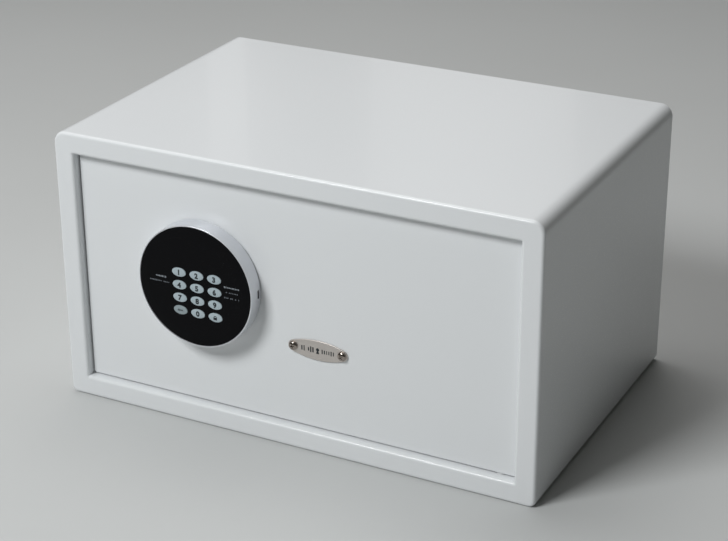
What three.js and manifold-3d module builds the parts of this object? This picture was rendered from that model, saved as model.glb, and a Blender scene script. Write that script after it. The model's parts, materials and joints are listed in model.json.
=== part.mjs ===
// In-room safe: a folded steel cabinet with one hinged door, a round electronic
// keypad, two motor-driven bolts and an emergency key cylinder behind a small plate.
// Millimetres, +Z up, front towards -Y. The origin is the centre of the base.

import * as THREE from 'three';
import { mergeVertices } from 'three/addons/utils/BufferGeometryUtils.js';
import Module from 'manifold-3d';

const wasm = await Module();
wasm.setup();

// ---------------------------------------------------------------- dimensions

// Clearances
const SEAM = 0.3;            // between pieces that are welded, glued or screwed together
const SLIDE_FIT = 0.3;       // around a bolt, pin or shaft that moves
const DOOR_GAP = 1.2;        // around the door, inside the frame
const KEY_FIT = 0.3;         // around a key in the fascia
const HOLE_FIT = 0.3;        // around a screw shank

// Cabinet
const WIDTH = 450;
const HEIGHT = 250;
const DEPTH = 295;
const BODY_SHEET = 2;
const TOP_EDGE_R = 11;       // outer radius of the two long top edges
const BOTTOM_EDGE_R = 6;
const FRONT_EDGE_R = 2.8;    // bends around the frame's face, outside and beside the door
const BASE_TURN_UP = 12;     // height at which the base is welded to the sides

// Front frame
const FRAME_BORDER = 19;
const FRAME_FLANGE = 8;      // how far the frame's outer edge runs back
const RETURN_DEPTH = 20;     // how far the sheet turns back beside the door
const STOP_WIDTH = 10;
const STOP_SHEET = 3;
const STOP_TO_HINGE = 30;    // the stop ends this far before the hinge axis

// Anchor holes and floor mat
const ANCHOR_R = 6;
const ANCHOR_SPACING = 220;
const BASE_ANCHOR_BACK = 60; // from the base's centre towards the back
const MAT_THICKNESS = 3;
const MAT_EDGE_GAP = 1;
const MAT_CORNER_R = 3;
const MAT_HOLE_MARGIN = 1;   // mat's holes beyond the anchor holes

// Door
const DOOR_SHEET = 5;
const DOOR_RECESS = 8;       // the door's face behind the frame's face
const DOOR_CORNER_R = 1;

// Hinge
const PIN_R = 3.5;
const HINGE_INSET = 14;      // axis to the door's hinge edge
const HINGE_BEHIND_FACE = 4.8;
const LUG_HEIGHT = 25;
const LUG_BLOCK = 7;         // thickness of the block behind the door
const LUG_LATCH_SIDE = 14;
const LUG_HINGE_SIDE = 8;
const PIN_PAST_SHEET = 2;
const BUSH_WALL = 0.8;
const BUSH_COLLAR = 0.9;     // thrust collar that the door rides on
const BUSH_FLANGE_R = 8;
const BUSH_FLANGE = 1.7;
const BUSH_LENGTH = 5;

// Keypad
const KEYPAD_FROM_LATCH_SIDE = 141;   // centre to the cabinet's side
const KEYPAD_ABOVE_MIDDLE = 10.8;     // centre above the cabinet's mid height
const KEYPAD_R = 55.2;
const KEYPAD_PROUD = 16.2;
const RING_WALL = 2.8;
const RIM_WIDTH = 0.9;
const RIM_CHAMFER = 0.3;
const FASCIA_BELOW_RIM = 0.2;
const FASCIA_SHEET = 2;
const KEY_HALF_WIDTH = 6.75;
const KEY_HALF_HEIGHT = 4.05;
const KEY_PITCH_X = 17.2;
const KEY_PITCH_Z = 11.7;
const KEY_GRID_X = 2;        // centre of the key grid, from the keypad's centre
const KEY_GRID_Z = -6.8;
const KEY_PROUD = 0.25;
const KEY_RIM = 0.7;         // how far a key's skirt reaches behind the fascia
const KEY_SKIRT = 0.8;
const KEY_TRAVEL = 0.8;
const BOARD_EDGE_GAP = 4.4;  // board to the ring's inner wall
const BOARD_SHEET = 1.6;
const DISPLAY_WIDTH = 40;
const DISPLAY_HEIGHT = 14;
const DISPLAY_SHEET = 1.5;
const DISPLAY_UP = 24;
const BACK_SHEET = 2.7;
const BACK_TUBE_R = 11;
const BACK_TUBE_WALL = 3;
const BACK_TUBE_PAST_DOOR = 4;
const BACK_POST_R = 3;
const BACK_POST_INSET = 8;   // post axis to the board's edge
const PORT_LENGTH = 7.8;
const PORT_HEIGHT = 3;
const PORT_FROM_DOOR = 4.7;
const PORT_SHELL = 0.8;
const PORT_DEPTH = 4;

// Emergency cylinder and the plate over it
const OVERRIDE_FROM_KEYPAD_X = 108.5;
const OVERRIDE_FROM_KEYPAD_Z = -41.8;
const BADGE_HALF_LENGTH = 28;
const BADGE_HALF_HEIGHT = 9;
const BADGE_END_R = 5.2;
const BADGE_SHEET = 1;
const BADGE_SCREW_SPACING = 46;
const SMALL_SCREW_R = 1.5;
const SCREW_HEAD_R = 4;
const SCREW_HEAD_HEIGHT = 2.4;
const SCREW_HEAD_EDGE = 0.4;
const BARREL_R = 8;
const BARREL_BELOW_FACE = 1;
const BARREL_LENGTH = 15;
const BARREL_NUT_R = 12;
const BARREL_NUT = 2;
const PLUG_R = 6;
const KEYWAY_WIDTH = 1.6;
const KEYWAY_HEIGHT = 8;
const KEYWAY_DEPTH = 11;
const CAM_REACH = 12;
const CAM_HALF_WIDTH = 4;
const CAM_SHEET = 2.5;

// Bolts and their carrier
const MECHANISM_HALF_HEIGHT = 65;
const BOLT_R = 8;
const BOLT_CHAMFER = 1.5;
const BOLT_SPACING = 90;
const BOLT_TRAVEL = 20;
const BOLT_BEHIND_RETURN = 1.5;
const BOLT_FROM_LATCH_SIDE = 29;      // retracted tip to the cabinet's side
const BOLT_LENGTH = 62;
const BOLT_SPIGOT_R = 4;
const BOLT_SPIGOT = 10;
const CARRIER_WIDTH = 12;
const CARRIER_DEPTH = 15;
const CARRIER_PAST_BOLT = 13;
const STRIKE_SHEET = 2.5;
const STRIKE_FIT = 0.8;
const STRIKE_FROM_FRONT = 4;
const STRIKE_PAST_BOLT = 8;

// Rack and pinion
const GEAR_MODULE = 1.2;
const PINION_TEETH = 14;
const GEAR_ADDENDUM = 0.9;
const GEAR_DEDENDUM = 1.3;
const GEAR_BACKLASH = 0.35;
const PRESSURE_ANGLE = THREE.MathUtils.degToRad(20);
const GEAR_WIDTH = 9.4;
const RACK_BODY = 6;
const TEETH_BEFORE = 3;               // rack teeth left of the pinion, retracted
const TEETH_AFTER = 2;                // spare rack teeth beyond the travel
const PINION_FROM_CARRIER = 22;       // pinion axis to the carrier, retracted
const PINION_SHAFT_R = 3;
const PINION_SHAFT = 4;

// Motor and gearbox
const GEARBOX_HALF_WIDTH = 18;
const GEARBOX_HEIGHT = 24;
const GEARBOX_DEPTH = 14;
const GEARBOX_FOOT = 3;
const GEARBOX_FOOT_GAP = 1.5;         // foot above the pinion's teeth
const MOTOR_R = 10;
const MOTOR_LENGTH = 29;
const MOTOR_ABOVE_RACK = 15;
const MOTOR_BOSS_R = 3;
const MOTOR_BOSS = 3;

// Chassis and mechanism cover
const CHASSIS_SHEET = 2;
const CHASSIS_EDGE_GAP = 2;        // chassis to the cover's walls
const CHASSIS_FLANGE = 29.7;
const LEAD_HOLE_FIT = 3;           // around the keypad's tube in the chassis
const BOLT_BUSH_WALL = 2;
const BOLT_BUSH_LENGTH = 10;
const COVER_SHEET = 1.5;
const COVER_FROM_LATCH_SIDE = 35;
const COVER_PAST_OVERRIDE = 35.5;
const COVER_DEPTH = 37.4;
const COVER_MARGIN = 5;               // cover beyond the chassis, above and below
const POST_R = 4;
const POST_TO_EDGE = 6;               // right post axis to the chassis edge
const POST_HOLE_DEPTH = 14;
const COVER_SCREW_R = 2;
const COVER_SCREW_LENGTH = 12;

// Override bar
const BAR_SHEET = 2;
const BAR_TOP_BELOW_CAM = 8;
const BAR_HEIGHT = 14;
const BAR_NOTCH = 5;
const BAR_END = 4;

// Control board and batteries
const CONTROL_WIDTH = 88;
const CONTROL_HEIGHT = 44;
const CONTROL_BEHIND_CHASSIS = 14.7;
const BOARD_CHIPS = [              // centre from the board's lower left corner, width and height
  { along: 14, up: 12, size: 12, high: 2 },
  { along: 40, up: 20, size: 16, high: 2.5 },
  { along: 66, up: 10, size: 18, high: 7 },
  { along: 72, up: 30, size: 12, high: 5 },
  { along: 24, up: 32, size: 22, high: 4 },
];
const STANDOFF_R = 3;
const STANDOFF_INSET = 8;
const CONTROL_FROM_MOTOR = 5;
const CONTROL_BELOW_EDGE = 4;      // board to the chassis' top edge
const CELL_R = 7.1;
const CELL_LENGTH = 50;
const CELL_PITCH = 15;
const CELL_COUNT = 4;
const CELL_FIT = 0.4;
const CELL_END_GAP = 2;      // contact springs at the ends of the cells
const CELL_NUB_R = 2.4;
const CELL_NUB = 1;
const TRAY_SHEET = 1.5;
const TRAY_BEHIND_DOOR = 18;
const TRAY_FOOT = 6;
const TRAY_BELOW_CHASSIS = 2;
const LID_SHEET = 2;
const LID_LAP = 3;
const LID_TAB = 9;
const LID_TAB_HALF_WIDTH = 6;
const LID_SCREW_LENGTH = 6;

// Sides on round pieces
const ROUND_LARGE = 60;
const ROUND = 20;
const ROUND_SMALL = 10;
const OVAL_STEPS = 8;

// Keypad lead
const LEAD_R = 1.5;
const LEAD_SIDES = 8;
const LEAD_STEPS = 16;

// ------------------------------------------------------- derived positions

const FRONT = -DEPTH / 2;
const BACK = DEPTH / 2;
const MIDDLE_Z = HEIGHT / 2;
const LATCH_SIDE = -WIDTH / 2;

const OPENING_HALF = WIDTH / 2 - FRAME_BORDER;
const OPENING_BOTTOM = FRAME_BORDER;
const OPENING_TOP = HEIGHT - FRAME_BORDER;

const DOOR_FACE = FRONT + DOOR_RECESS;
const DOOR_REAR = DOOR_FACE + DOOR_SHEET;
const DOOR_HALF = OPENING_HALF - DOOR_GAP;
const DOOR_BOTTOM = OPENING_BOTTOM + DOOR_GAP;
const DOOR_TOP = OPENING_TOP - DOOR_GAP;

const HINGE_X = DOOR_HALF - HINGE_INSET;
const HINGE_Y = DOOR_FACE + HINGE_BEHIND_FACE;
const BUSH_R = PIN_R + SLIDE_FIT + BUSH_WALL;

const KEYPAD_BOARD_R = KEYPAD_R - RING_WALL - BOARD_EDGE_GAP;
const KEYPAD_X = LATCH_SIDE + KEYPAD_FROM_LATCH_SIDE;
const KEYPAD_Z = MIDDLE_Z + KEYPAD_ABOVE_MIDDLE;
const OVERRIDE_X = KEYPAD_X + OVERRIDE_FROM_KEYPAD_X;
const OVERRIDE_Z = KEYPAD_Z + OVERRIDE_FROM_KEYPAD_Z;

const BOLT_Y = FRONT + RETURN_DEPTH + BOLT_BEHIND_RETURN + BOLT_R;
const BOLT_TIP_X = LATCH_SIDE + BOLT_FROM_LATCH_SIDE;
const CARRIER_X = BOLT_TIP_X + BOLT_LENGTH;
const CARRIER_RIGHT = CARRIER_X + CARRIER_WIDTH;
const CARRIER_FRONT = BOLT_Y - CARRIER_DEPTH / 2;

const PITCH_R = GEAR_MODULE * PINION_TEETH / 2;
const GEAR_PITCH = Math.PI * GEAR_MODULE;
const PINION_X = CARRIER_RIGHT + PINION_FROM_CARRIER;
const PINION_Z = MIDDLE_Z + PITCH_R;
const GEAR_FRONT = CARRIER_FRONT + SEAM;
const GEARBOX_FRONT = GEAR_FRONT + GEAR_WIDTH + SLIDE_FIT + 1;

const CHASSIS_FRONT = DOOR_REAR + SEAM;
const CHASSIS_REAR = CHASSIS_FRONT + CHASSIS_SHEET;
const COVER_LEFT = LATCH_SIDE + COVER_FROM_LATCH_SIDE;
const COVER_RIGHT = OVERRIDE_X + COVER_PAST_OVERRIDE;
const COVER_FRONT = DOOR_REAR + SEAM;
const COVER_REAR = COVER_FRONT + COVER_DEPTH;
const COVER_INNER_REAR = COVER_REAR - COVER_SHEET;
const CHASSIS_LEFT = COVER_LEFT + COVER_SHEET + CHASSIS_EDGE_GAP;
const CHASSIS_RIGHT = COVER_RIGHT - COVER_SHEET - CHASSIS_EDGE_GAP;
const MECHANISM_BOTTOM = MIDDLE_Z - MECHANISM_HALF_HEIGHT;
const MECHANISM_TOP = MIDDLE_Z + MECHANISM_HALF_HEIGHT;

const CAM_FRONT = DOOR_FACE + BARREL_BELOW_FACE + BARREL_LENGTH + SEAM;
const BAR_TOP = OVERRIDE_Z - BAR_TOP_BELOW_CAM;

const BATTERY_X = OVERRIDE_X - BARREL_NUT_R - CELL_COUNT * CELL_PITCH / 2 - TRAY_SHEET;
const TRAY_HALF_WIDTH = CELL_COUNT * CELL_PITCH / 2 + TRAY_SHEET + CELL_FIT;
const TRAY_BOTTOM = MECHANISM_BOTTOM - TRAY_BELOW_CHASSIS;
const TRAY_TOP = TRAY_BOTTOM + CELL_LENGTH + 2 * (TRAY_SHEET + CELL_FIT + CELL_END_GAP);
const TRAY_FRONT = DOOR_REAR + TRAY_BEHIND_DOOR;
const CELL_Y = TRAY_FRONT + TRAY_SHEET + CELL_FIT + CELL_R;

const BOARD_LEFT = PINION_X + GEARBOX_HALF_WIDTH + MOTOR_LENGTH + CONTROL_FROM_MOTOR;
const BOARD_RIGHT = BOARD_LEFT + CONTROL_WIDTH;
const BOARD_TOP = MECHANISM_TOP - CONTROL_BELOW_EDGE;
const BOARD_BOTTOM = BOARD_TOP - CONTROL_HEIGHT;
const BOARD_FRONT = CHASSIS_REAR + CONTROL_BEHIND_CHASSIS;

// ------------------------------------------------------------ shape helpers

// A closed three.js geometry as a solid that can be joined and cut.
function solid(geometry) {
  const bare = new THREE.BufferGeometry();
  bare.setAttribute('position', geometry.getAttribute('position').clone());
  if (geometry.index) bare.setIndex(geometry.index.clone());
  const welded = mergeVertices(bare, 1e-4);
  return new wasm.Manifold(new wasm.Mesh({
    numProp: 3,
    vertProperties: new Float32Array(welded.getAttribute('position').array),
    triVerts: new Uint32Array(welded.index.array),
  }));
}

// A solid back as a three.js geometry.
function geometryOf(body) {
  const mesh = body.getMesh();
  const geometry = new THREE.BufferGeometry();
  geometry.setAttribute('position', new THREE.BufferAttribute(new Float32Array(mesh.vertProperties), 3));
  geometry.setIndex(new THREE.BufferAttribute(new Uint32Array(mesh.triVerts), 1));
  geometry.computeVertexNormals();
  return geometry;
}

function block(x0, x1, y0, y1, z0, z1) {
  const geometry = new THREE.BoxGeometry(x1 - x0, y1 - y0, z1 - z0);
  return solid(geometry.translate((x0 + x1) / 2, (y0 + y1) / 2, (z0 + z1) / 2));
}

// A shape drawn in X and Z, given a thickness from y0 to y1.
function extrudeY(shape, y0, y1, curveSegments = 4) {
  const geometry = new THREE.ExtrudeGeometry(shape, { depth: y1 - y0, bevelEnabled: false, curveSegments });
  return solid(geometry.rotateX(Math.PI / 2).translate(0, y1, 0));
}

function rodX(radius, x0, x1, y, z, segments = ROUND) {
  const geometry = new THREE.CylinderGeometry(radius, radius, x1 - x0, segments);
  return solid(geometry.rotateZ(Math.PI / 2).translate((x0 + x1) / 2, y, z));
}

function rodY(radius, y0, y1, x, z, segments = ROUND) {
  const geometry = new THREE.CylinderGeometry(radius, radius, y1 - y0, segments);
  return solid(geometry.translate(x, (y0 + y1) / 2, z));
}

function rodZ(radius, z0, z1, x, y, segments = ROUND) {
  const geometry = new THREE.CylinderGeometry(radius, radius, z1 - z0, segments);
  return solid(geometry.rotateX(Math.PI / 2).translate(x, y, (z0 + z1) / 2));
}

// A profile of [radius, y] points turned about the Y axis.
function turned(profile, segments) {
  const points = profile.map(([radius, y]) => new THREE.Vector2(radius, y));
  return solid(new THREE.LatheGeometry(points, segments));
}

function rectangle(x0, x1, z0, z1, radius = 0) {
  const shape = new THREE.Shape();
  if (radius === 0) {
    shape.moveTo(x0, z0).lineTo(x1, z0).lineTo(x1, z1).lineTo(x0, z1).closePath();
    return shape;
  }
  shape.moveTo(x0 + radius, z0);
  shape.lineTo(x1 - radius, z0).absarc(x1 - radius, z0 + radius, radius, -Math.PI / 2, 0);
  shape.lineTo(x1, z1 - radius).absarc(x1 - radius, z1 - radius, radius, 0, Math.PI / 2);
  shape.lineTo(x0 + radius, z1).absarc(x0 + radius, z1 - radius, radius, Math.PI / 2, Math.PI);
  shape.lineTo(x0, z0 + radius).absarc(x0 + radius, z0 + radius, radius, Math.PI, 1.5 * Math.PI);
  return shape;
}

// The cabinet's outline seen from the front, moved inwards by inset.
function cabinetOutline(inset) {
  const side = WIDTH / 2 - inset;
  const bottom = inset;
  const top = HEIGHT - inset;
  const low = Math.max(BOTTOM_EDGE_R - inset, 0.5);
  const high = Math.max(TOP_EDGE_R - inset, 0.5);
  const shape = new THREE.Shape();
  shape.moveTo(-side + low, bottom);
  shape.lineTo(side - low, bottom).absarc(side - low, bottom + low, low, -Math.PI / 2, 0);
  shape.lineTo(side, top - high).absarc(side - high, top - high, high, 0, Math.PI / 2);
  shape.lineTo(-side + high, top).absarc(-side + high, top - high, high, Math.PI / 2, Math.PI);
  shape.lineTo(-side, bottom + low).absarc(-side + low, bottom + low, low, Math.PI, 1.5 * Math.PI);
  return shape;
}

function ellipse(halfWidth, halfHeight) {
  const shape = new THREE.Shape();
  shape.absellipse(0, 0, halfWidth, halfHeight, 0, 2 * Math.PI);
  return shape;
}

// A long oval: two wide arcs that run tangent into two small end arcs.
function lens(halfLength, halfHeight, endRadius) {
  const endX = halfLength - endRadius;
  const rise = halfHeight - endRadius;
  const drop = (endX * endX - rise * rise) / (2 * rise);
  const wide = drop + halfHeight;
  const turn = Math.atan2(drop, endX);
  const shape = new THREE.Shape();
  shape.absarc(endX, 0, endRadius, -turn, turn);
  shape.absarc(0, -drop, wide, turn, Math.PI - turn);
  shape.absarc(-endX, 0, endRadius, Math.PI - turn, Math.PI + turn);
  shape.absarc(0, drop, wide, Math.PI + turn, 2 * Math.PI - turn);
  return shape;
}

// A dome-headed screw along Y: the head towards -Y, its seat at y = 0.
function domeScrew(shankRadius, shankLength) {
  const crown = 3;
  const profile = [[0, shankLength], [shankRadius, shankLength], [shankRadius, 0], [SCREW_HEAD_R, 0]];
  for (let i = 0; i <= crown; i += 1) {
    const angle = i / crown * Math.PI / 2;
    profile.push([
      SCREW_HEAD_R * Math.cos(angle),
      -SCREW_HEAD_EDGE - (SCREW_HEAD_HEIGHT - SCREW_HEAD_EDGE) * Math.sin(angle),
    ]);
  }
  profile[profile.length - 1][0] = 0;
  return turned(profile.reverse(), ROUND_SMALL);
}

// ---------------------------------------------------------------- finishes

function finish(color, roughness, metalness) {
  return () => new THREE.MeshStandardMaterial({ color, roughness, metalness });
}

const whiteLacquer = finish(0xe4e7e9, 0.25, 0.0);
const satinSilver = finish(0xb9bdc4, 0.35, 0.8);
const blackGlass = finish(0x08090b, 0.12, 0.0);
const keyPlastic = finish(0xaebfc8, 0.45, 0.0);
const brushedSteel = finish(0x9d968f, 0.4, 0.9);
const brightSteel = finish(0xc4c4c2, 0.25, 1.0);
const zincSteel = finish(0xa8abad, 0.45, 0.9);
const brass = finish(0xb79a55, 0.35, 0.9);
const bronze = finish(0x9c7440, 0.5, 0.9);
const whiteNylon = finish(0xdfe1e0, 0.45, 0.0);
const boardGreen = finish(0x1f5b3c, 0.5, 0.1);
const blackPlastic = finish(0x1b1c1e, 0.55, 0.0);
const greyCarpet = finish(0x3b3d42, 0.95, 0.0);
const cellSleeve = finish(0x3f4a56, 0.4, 0.2);
const leadSleeve = finish(0x55585c, 0.6, 0.0);

function part(group, name, body, material, x = 0, y = 0, z = 0) {
  const mesh = new THREE.Mesh(geometryOf(body), material());
  mesh.name = name;
  mesh.position.set(x, y, z);
  group.add(mesh);
  return mesh;
}

const safe = new THREE.Group();
const cabinet = new THREE.Group();
const door = new THREE.Group();
const keypad = new THREE.Group();
const override = new THREE.Group();
keypad.position.set(KEYPAD_X, DOOR_FACE, KEYPAD_Z);
override.position.set(OVERRIDE_X, DOOR_FACE, OVERRIDE_Z);
door.add(keypad, override);
safe.add(cabinet, door);

// ---------------------------------------------------------------- cabinet

// Top and sides are one folded sheet, the base another, welded along the sides.
{
  const front = FRONT + FRAME_FLANGE + SEAM;
  const outside = extrudeY(cabinetOutline(0), front, BACK);
  const inside = extrudeY(cabinetOutline(BODY_SHEET), front - 1, BACK + 1);
  const tube = outside.subtract(inside);
  const below = block(-WIDTH, WIDTH, FRONT - 1, BACK + 1, -1, BASE_TURN_UP + SEAM);
  const above = block(-WIDTH, WIDTH, FRONT - 1, BACK + 1, BASE_TURN_UP, HEIGHT + 1);
  part(cabinet, 'cabinet_wrap', tube.subtract(below), whiteLacquer);

  let base = tube.subtract(above);
  for (const x of [-ANCHOR_SPACING / 2, ANCHOR_SPACING / 2]) {
    base = base.subtract(rodZ(ANCHOR_R, -1, BODY_SHEET + 1, x, BASE_ANCHOR_BACK, ROUND_SMALL));
  }
  part(cabinet, 'base_pan', base, whiteLacquer);
}

// The rear panel closes the back and has two holes for wall anchors.
{
  let panel = extrudeY(cabinetOutline(BODY_SHEET + SEAM), BACK - BODY_SHEET, BACK);
  for (const x of [-ANCHOR_SPACING / 2, ANCHOR_SPACING / 2]) {
    panel = panel.subtract(rodY(ANCHOR_R, BACK - BODY_SHEET - 1, BACK + 1, x, MIDDLE_Z, ROUND_SMALL));
  }
  part(cabinet, 'rear_panel', panel, whiteLacquer);
}

// The front frame is a folded channel: face, outer flange and a return beside the door.
{
  const length = FRAME_FLANGE + 2;
  const face = cabinetOutline(0);
  face.holes.push(rectangle(-OPENING_HALF, OPENING_HALF, OPENING_BOTTOM, OPENING_TOP));
  const rounded = new THREE.ExtrudeGeometry(face, {
    bevelEnabled: true, bevelThickness: FRONT_EDGE_R, bevelSize: FRONT_EDGE_R, bevelOffset: -FRONT_EDGE_R,
    bevelSegments: 3, depth: length, curveSegments: 4,
  });
  rounded.rotateX(Math.PI / 2).translate(0, FRONT + FRONT_EDGE_R + length, 0);
  const flangeEnd = FRONT + FRAME_FLANGE;
  const behind = block(-WIDTH, WIDTH, flangeEnd, BACK, -1, HEIGHT + 1);
  const returns = block(
    -OPENING_HALF - BODY_SHEET, OPENING_HALF + BODY_SHEET, FRONT + FRONT_EDGE_R, FRONT + RETURN_DEPTH,
    OPENING_BOTTOM - BODY_SHEET, OPENING_TOP + BODY_SHEET,
  );
  const bend = block(
    -OPENING_HALF - BODY_SHEET, OPENING_HALF + BODY_SHEET, FRONT, BACK,
    OPENING_BOTTOM - BODY_SHEET, OPENING_TOP + BODY_SHEET,
  );
  const hollow = extrudeY(cabinetOutline(BODY_SHEET), FRONT + BODY_SHEET, BACK).subtract(bend);
  const channel = solid(rounded).subtract(behind).subtract(hollow);
  const opening = block(-OPENING_HALF, OPENING_HALF, FRONT - 1, BACK, OPENING_BOTTOM, OPENING_TOP);
  const bushHoles = rodZ(BUSH_R + SEAM, BODY_SHEET * 2, HEIGHT - BODY_SHEET * 2, HINGE_X, HINGE_Y);
  const frame = channel.add(returns).subtract(opening).subtract(bushHoles);
  part(cabinet, 'front_frame', frame, whiteLacquer);
}

// A flat bar behind the door's latch, top and bottom edges stops it.
{
  const edge = OPENING_HALF - SEAM;
  const end = HINGE_X - STOP_TO_HINGE;
  const inner = OPENING_HALF - STOP_WIDTH;
  const front = DOOR_REAR + SEAM;
  const bar = block(-edge, end, front, front + STOP_SHEET, OPENING_BOTTOM + SEAM, OPENING_TOP - SEAM);
  const inside = block(
    -inner, WIDTH, FRONT, BACK, OPENING_BOTTOM + STOP_WIDTH, OPENING_TOP - STOP_WIDTH,
  );
  part(cabinet, 'door_stop', bar.subtract(inside), whiteLacquer);
}

// The strike plate behind the latch side takes the two bolts.
{
  const inner = -OPENING_HALF - BODY_SHEET - SEAM;
  const outer = -WIDTH / 2 + BODY_SHEET + SEAM;
  const rear = BOLT_Y + BOLT_R + STRIKE_PAST_BOLT;
  const plate = block(
    inner - STRIKE_SHEET, inner, FRONT + STRIKE_FROM_FRONT, rear, MECHANISM_BOTTOM, MECHANISM_TOP,
  );
  const leg = block(outer, inner, rear - STRIKE_SHEET, rear, MECHANISM_BOTTOM, MECHANISM_TOP);
  let strike = plate.add(leg);
  for (const z of [MIDDLE_Z - BOLT_SPACING / 2, MIDDLE_Z + BOLT_SPACING / 2]) {
    strike = strike.subtract(rodX(BOLT_R + STRIKE_FIT, inner - STRIKE_SHEET - 1, inner + 1, BOLT_Y, z));
  }
  part(cabinet, 'strike_plate', strike, zincSteel);
}

// A bush in each return carries a hinge pin, with a collar that the door rides on.
const bushPlaces = [['hinge_bush_upper', OPENING_TOP, 1], ['hinge_bush_lower', OPENING_BOTTOM, -1]];
for (const [name, sheetZ, up] of bushPlaces) {
  const inner = PIN_R + SLIDE_FIT;
  const flange = BODY_SHEET + SEAM;
  const profile = [
    [inner, -BUSH_COLLAR], [BUSH_R, -BUSH_COLLAR], [BUSH_R, flange], [BUSH_FLANGE_R, flange],
    [BUSH_FLANGE_R, flange + BUSH_FLANGE], [BUSH_R, flange + BUSH_FLANGE], [BUSH_R, BUSH_LENGTH],
    [inner, BUSH_LENGTH], [inner, -BUSH_COLLAR],
  ];
  const mesh = part(cabinet, name, turned(profile, ROUND), whiteNylon, HINGE_X, HINGE_Y, sheetZ);
  mesh.rotation.x = up * Math.PI / 2;
}

// The carpet mat lies on the base, clear of the anchor holes.
{
  const side = WIDTH / 2 - BODY_SHEET - MAT_EDGE_GAP;
  const bottom = BODY_SHEET + SEAM;
  const front = FRONT + RETURN_DEPTH + MAT_EDGE_GAP;
  const rear = BACK - BODY_SHEET - MAT_EDGE_GAP;
  const raised = Math.max(BOTTOM_EDGE_R - BODY_SHEET, 0);
  const outline = rectangle(-side + raised, side - raised, -rear, -front, MAT_CORNER_R);
  const geometry = new THREE.ExtrudeGeometry(outline, {
    depth: MAT_THICKNESS, bevelEnabled: false, curveSegments: 3,
  });
  let mat = solid(geometry.rotateX(Math.PI).translate(0, 0, bottom + MAT_THICKNESS));
  for (const x of [-ANCHOR_SPACING / 2, ANCHOR_SPACING / 2]) {
    const radius = ANCHOR_R + MAT_HOLE_MARGIN;
    mat = mat.subtract(rodZ(radius, 0, bottom + MAT_THICKNESS + 1, x, BASE_ANCHOR_BACK, ROUND_SMALL));
  }
  part(cabinet, 'floor_mat', mat, greyCarpet);
}

// ---------------------------------------------------------------- door

const boltHeights = [MIDDLE_Z + BOLT_SPACING / 2, MIDDLE_Z - BOLT_SPACING / 2];

{
  const outline = rectangle(-DOOR_HALF, DOOR_HALF, DOOR_BOTTOM, DOOR_TOP, DOOR_CORNER_R);
  let plate = extrudeY(outline, DOOR_FACE, DOOR_REAR, 2);
  const through = [DOOR_FACE - 1, DOOR_REAR + 1];
  plate = plate.subtract(rodY(BACK_TUBE_R + HOLE_FIT, ...through, KEYPAD_X, KEYPAD_Z));
  plate = plate.subtract(rodY(BARREL_R + HOLE_FIT, ...through, OVERRIDE_X, OVERRIDE_Z));
  for (const side of [-1, 1]) {
    const x = OVERRIDE_X + side * BADGE_SCREW_SPACING / 2;
    plate = plate.subtract(rodY(SMALL_SCREW_R + HOLE_FIT, ...through, x, OVERRIDE_Z, ROUND_SMALL));
  }
  const groove = PIN_R + SEAM;
  const grooveLength = LUG_HEIGHT + 1 + SEAM;
  plate = plate.subtract(rodZ(groove, DOOR_TOP - grooveLength, DOOR_TOP + 1, HINGE_X, HINGE_Y));
  plate = plate.subtract(rodZ(groove, DOOR_BOTTOM - 1, DOOR_BOTTOM + grooveLength, HINGE_X, HINGE_Y));
  part(door, 'door_plate', plate, whiteLacquer);
}

// A lug welded behind each hinge corner carries its pin in a groove of the door.
for (const [name, edge, up] of [['hinge_lug_upper', DOOR_TOP, 1], ['hinge_lug_lower', DOOR_BOTTOM, -1]]) {
  const pinEnd = edge + up * (DOOR_GAP + BODY_SHEET + PIN_PAST_SHEET);
  const inner = edge - up * (LUG_HEIGHT + 1);
  const outer = edge - up;
  const pin = rodZ(PIN_R, Math.min(pinEnd, inner), Math.max(pinEnd, inner), HINGE_X, HINGE_Y);
  const weldBlock = block(
    HINGE_X - LUG_LATCH_SIDE, HINGE_X + LUG_HINGE_SIDE, DOOR_REAR + SEAM, DOOR_REAR + SEAM + LUG_BLOCK,
    Math.min(inner, outer), Math.max(inner, outer),
  );
  part(door, name, pin.add(weldBlock), zincSteel);
}

// ---------------------------------------------------------------- keypad

const KEY_FACE = -KEYPAD_PROUD + FASCIA_BELOW_RIM - KEY_PROUD;
const FASCIA_FRONT = -KEYPAD_PROUD + FASCIA_BELOW_RIM;
const FASCIA_REAR = FASCIA_FRONT + FASCIA_SHEET;
const SKIRT_FRONT = FASCIA_REAR + SEAM;
const SKIRT_REAR = SKIRT_FRONT + KEY_SKIRT;
const KEYPAD_BOARD_FRONT = SKIRT_REAR + KEY_TRAVEL + SEAM + 0.1;
const REBATE_R = KEYPAD_R - RIM_WIDTH;

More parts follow.
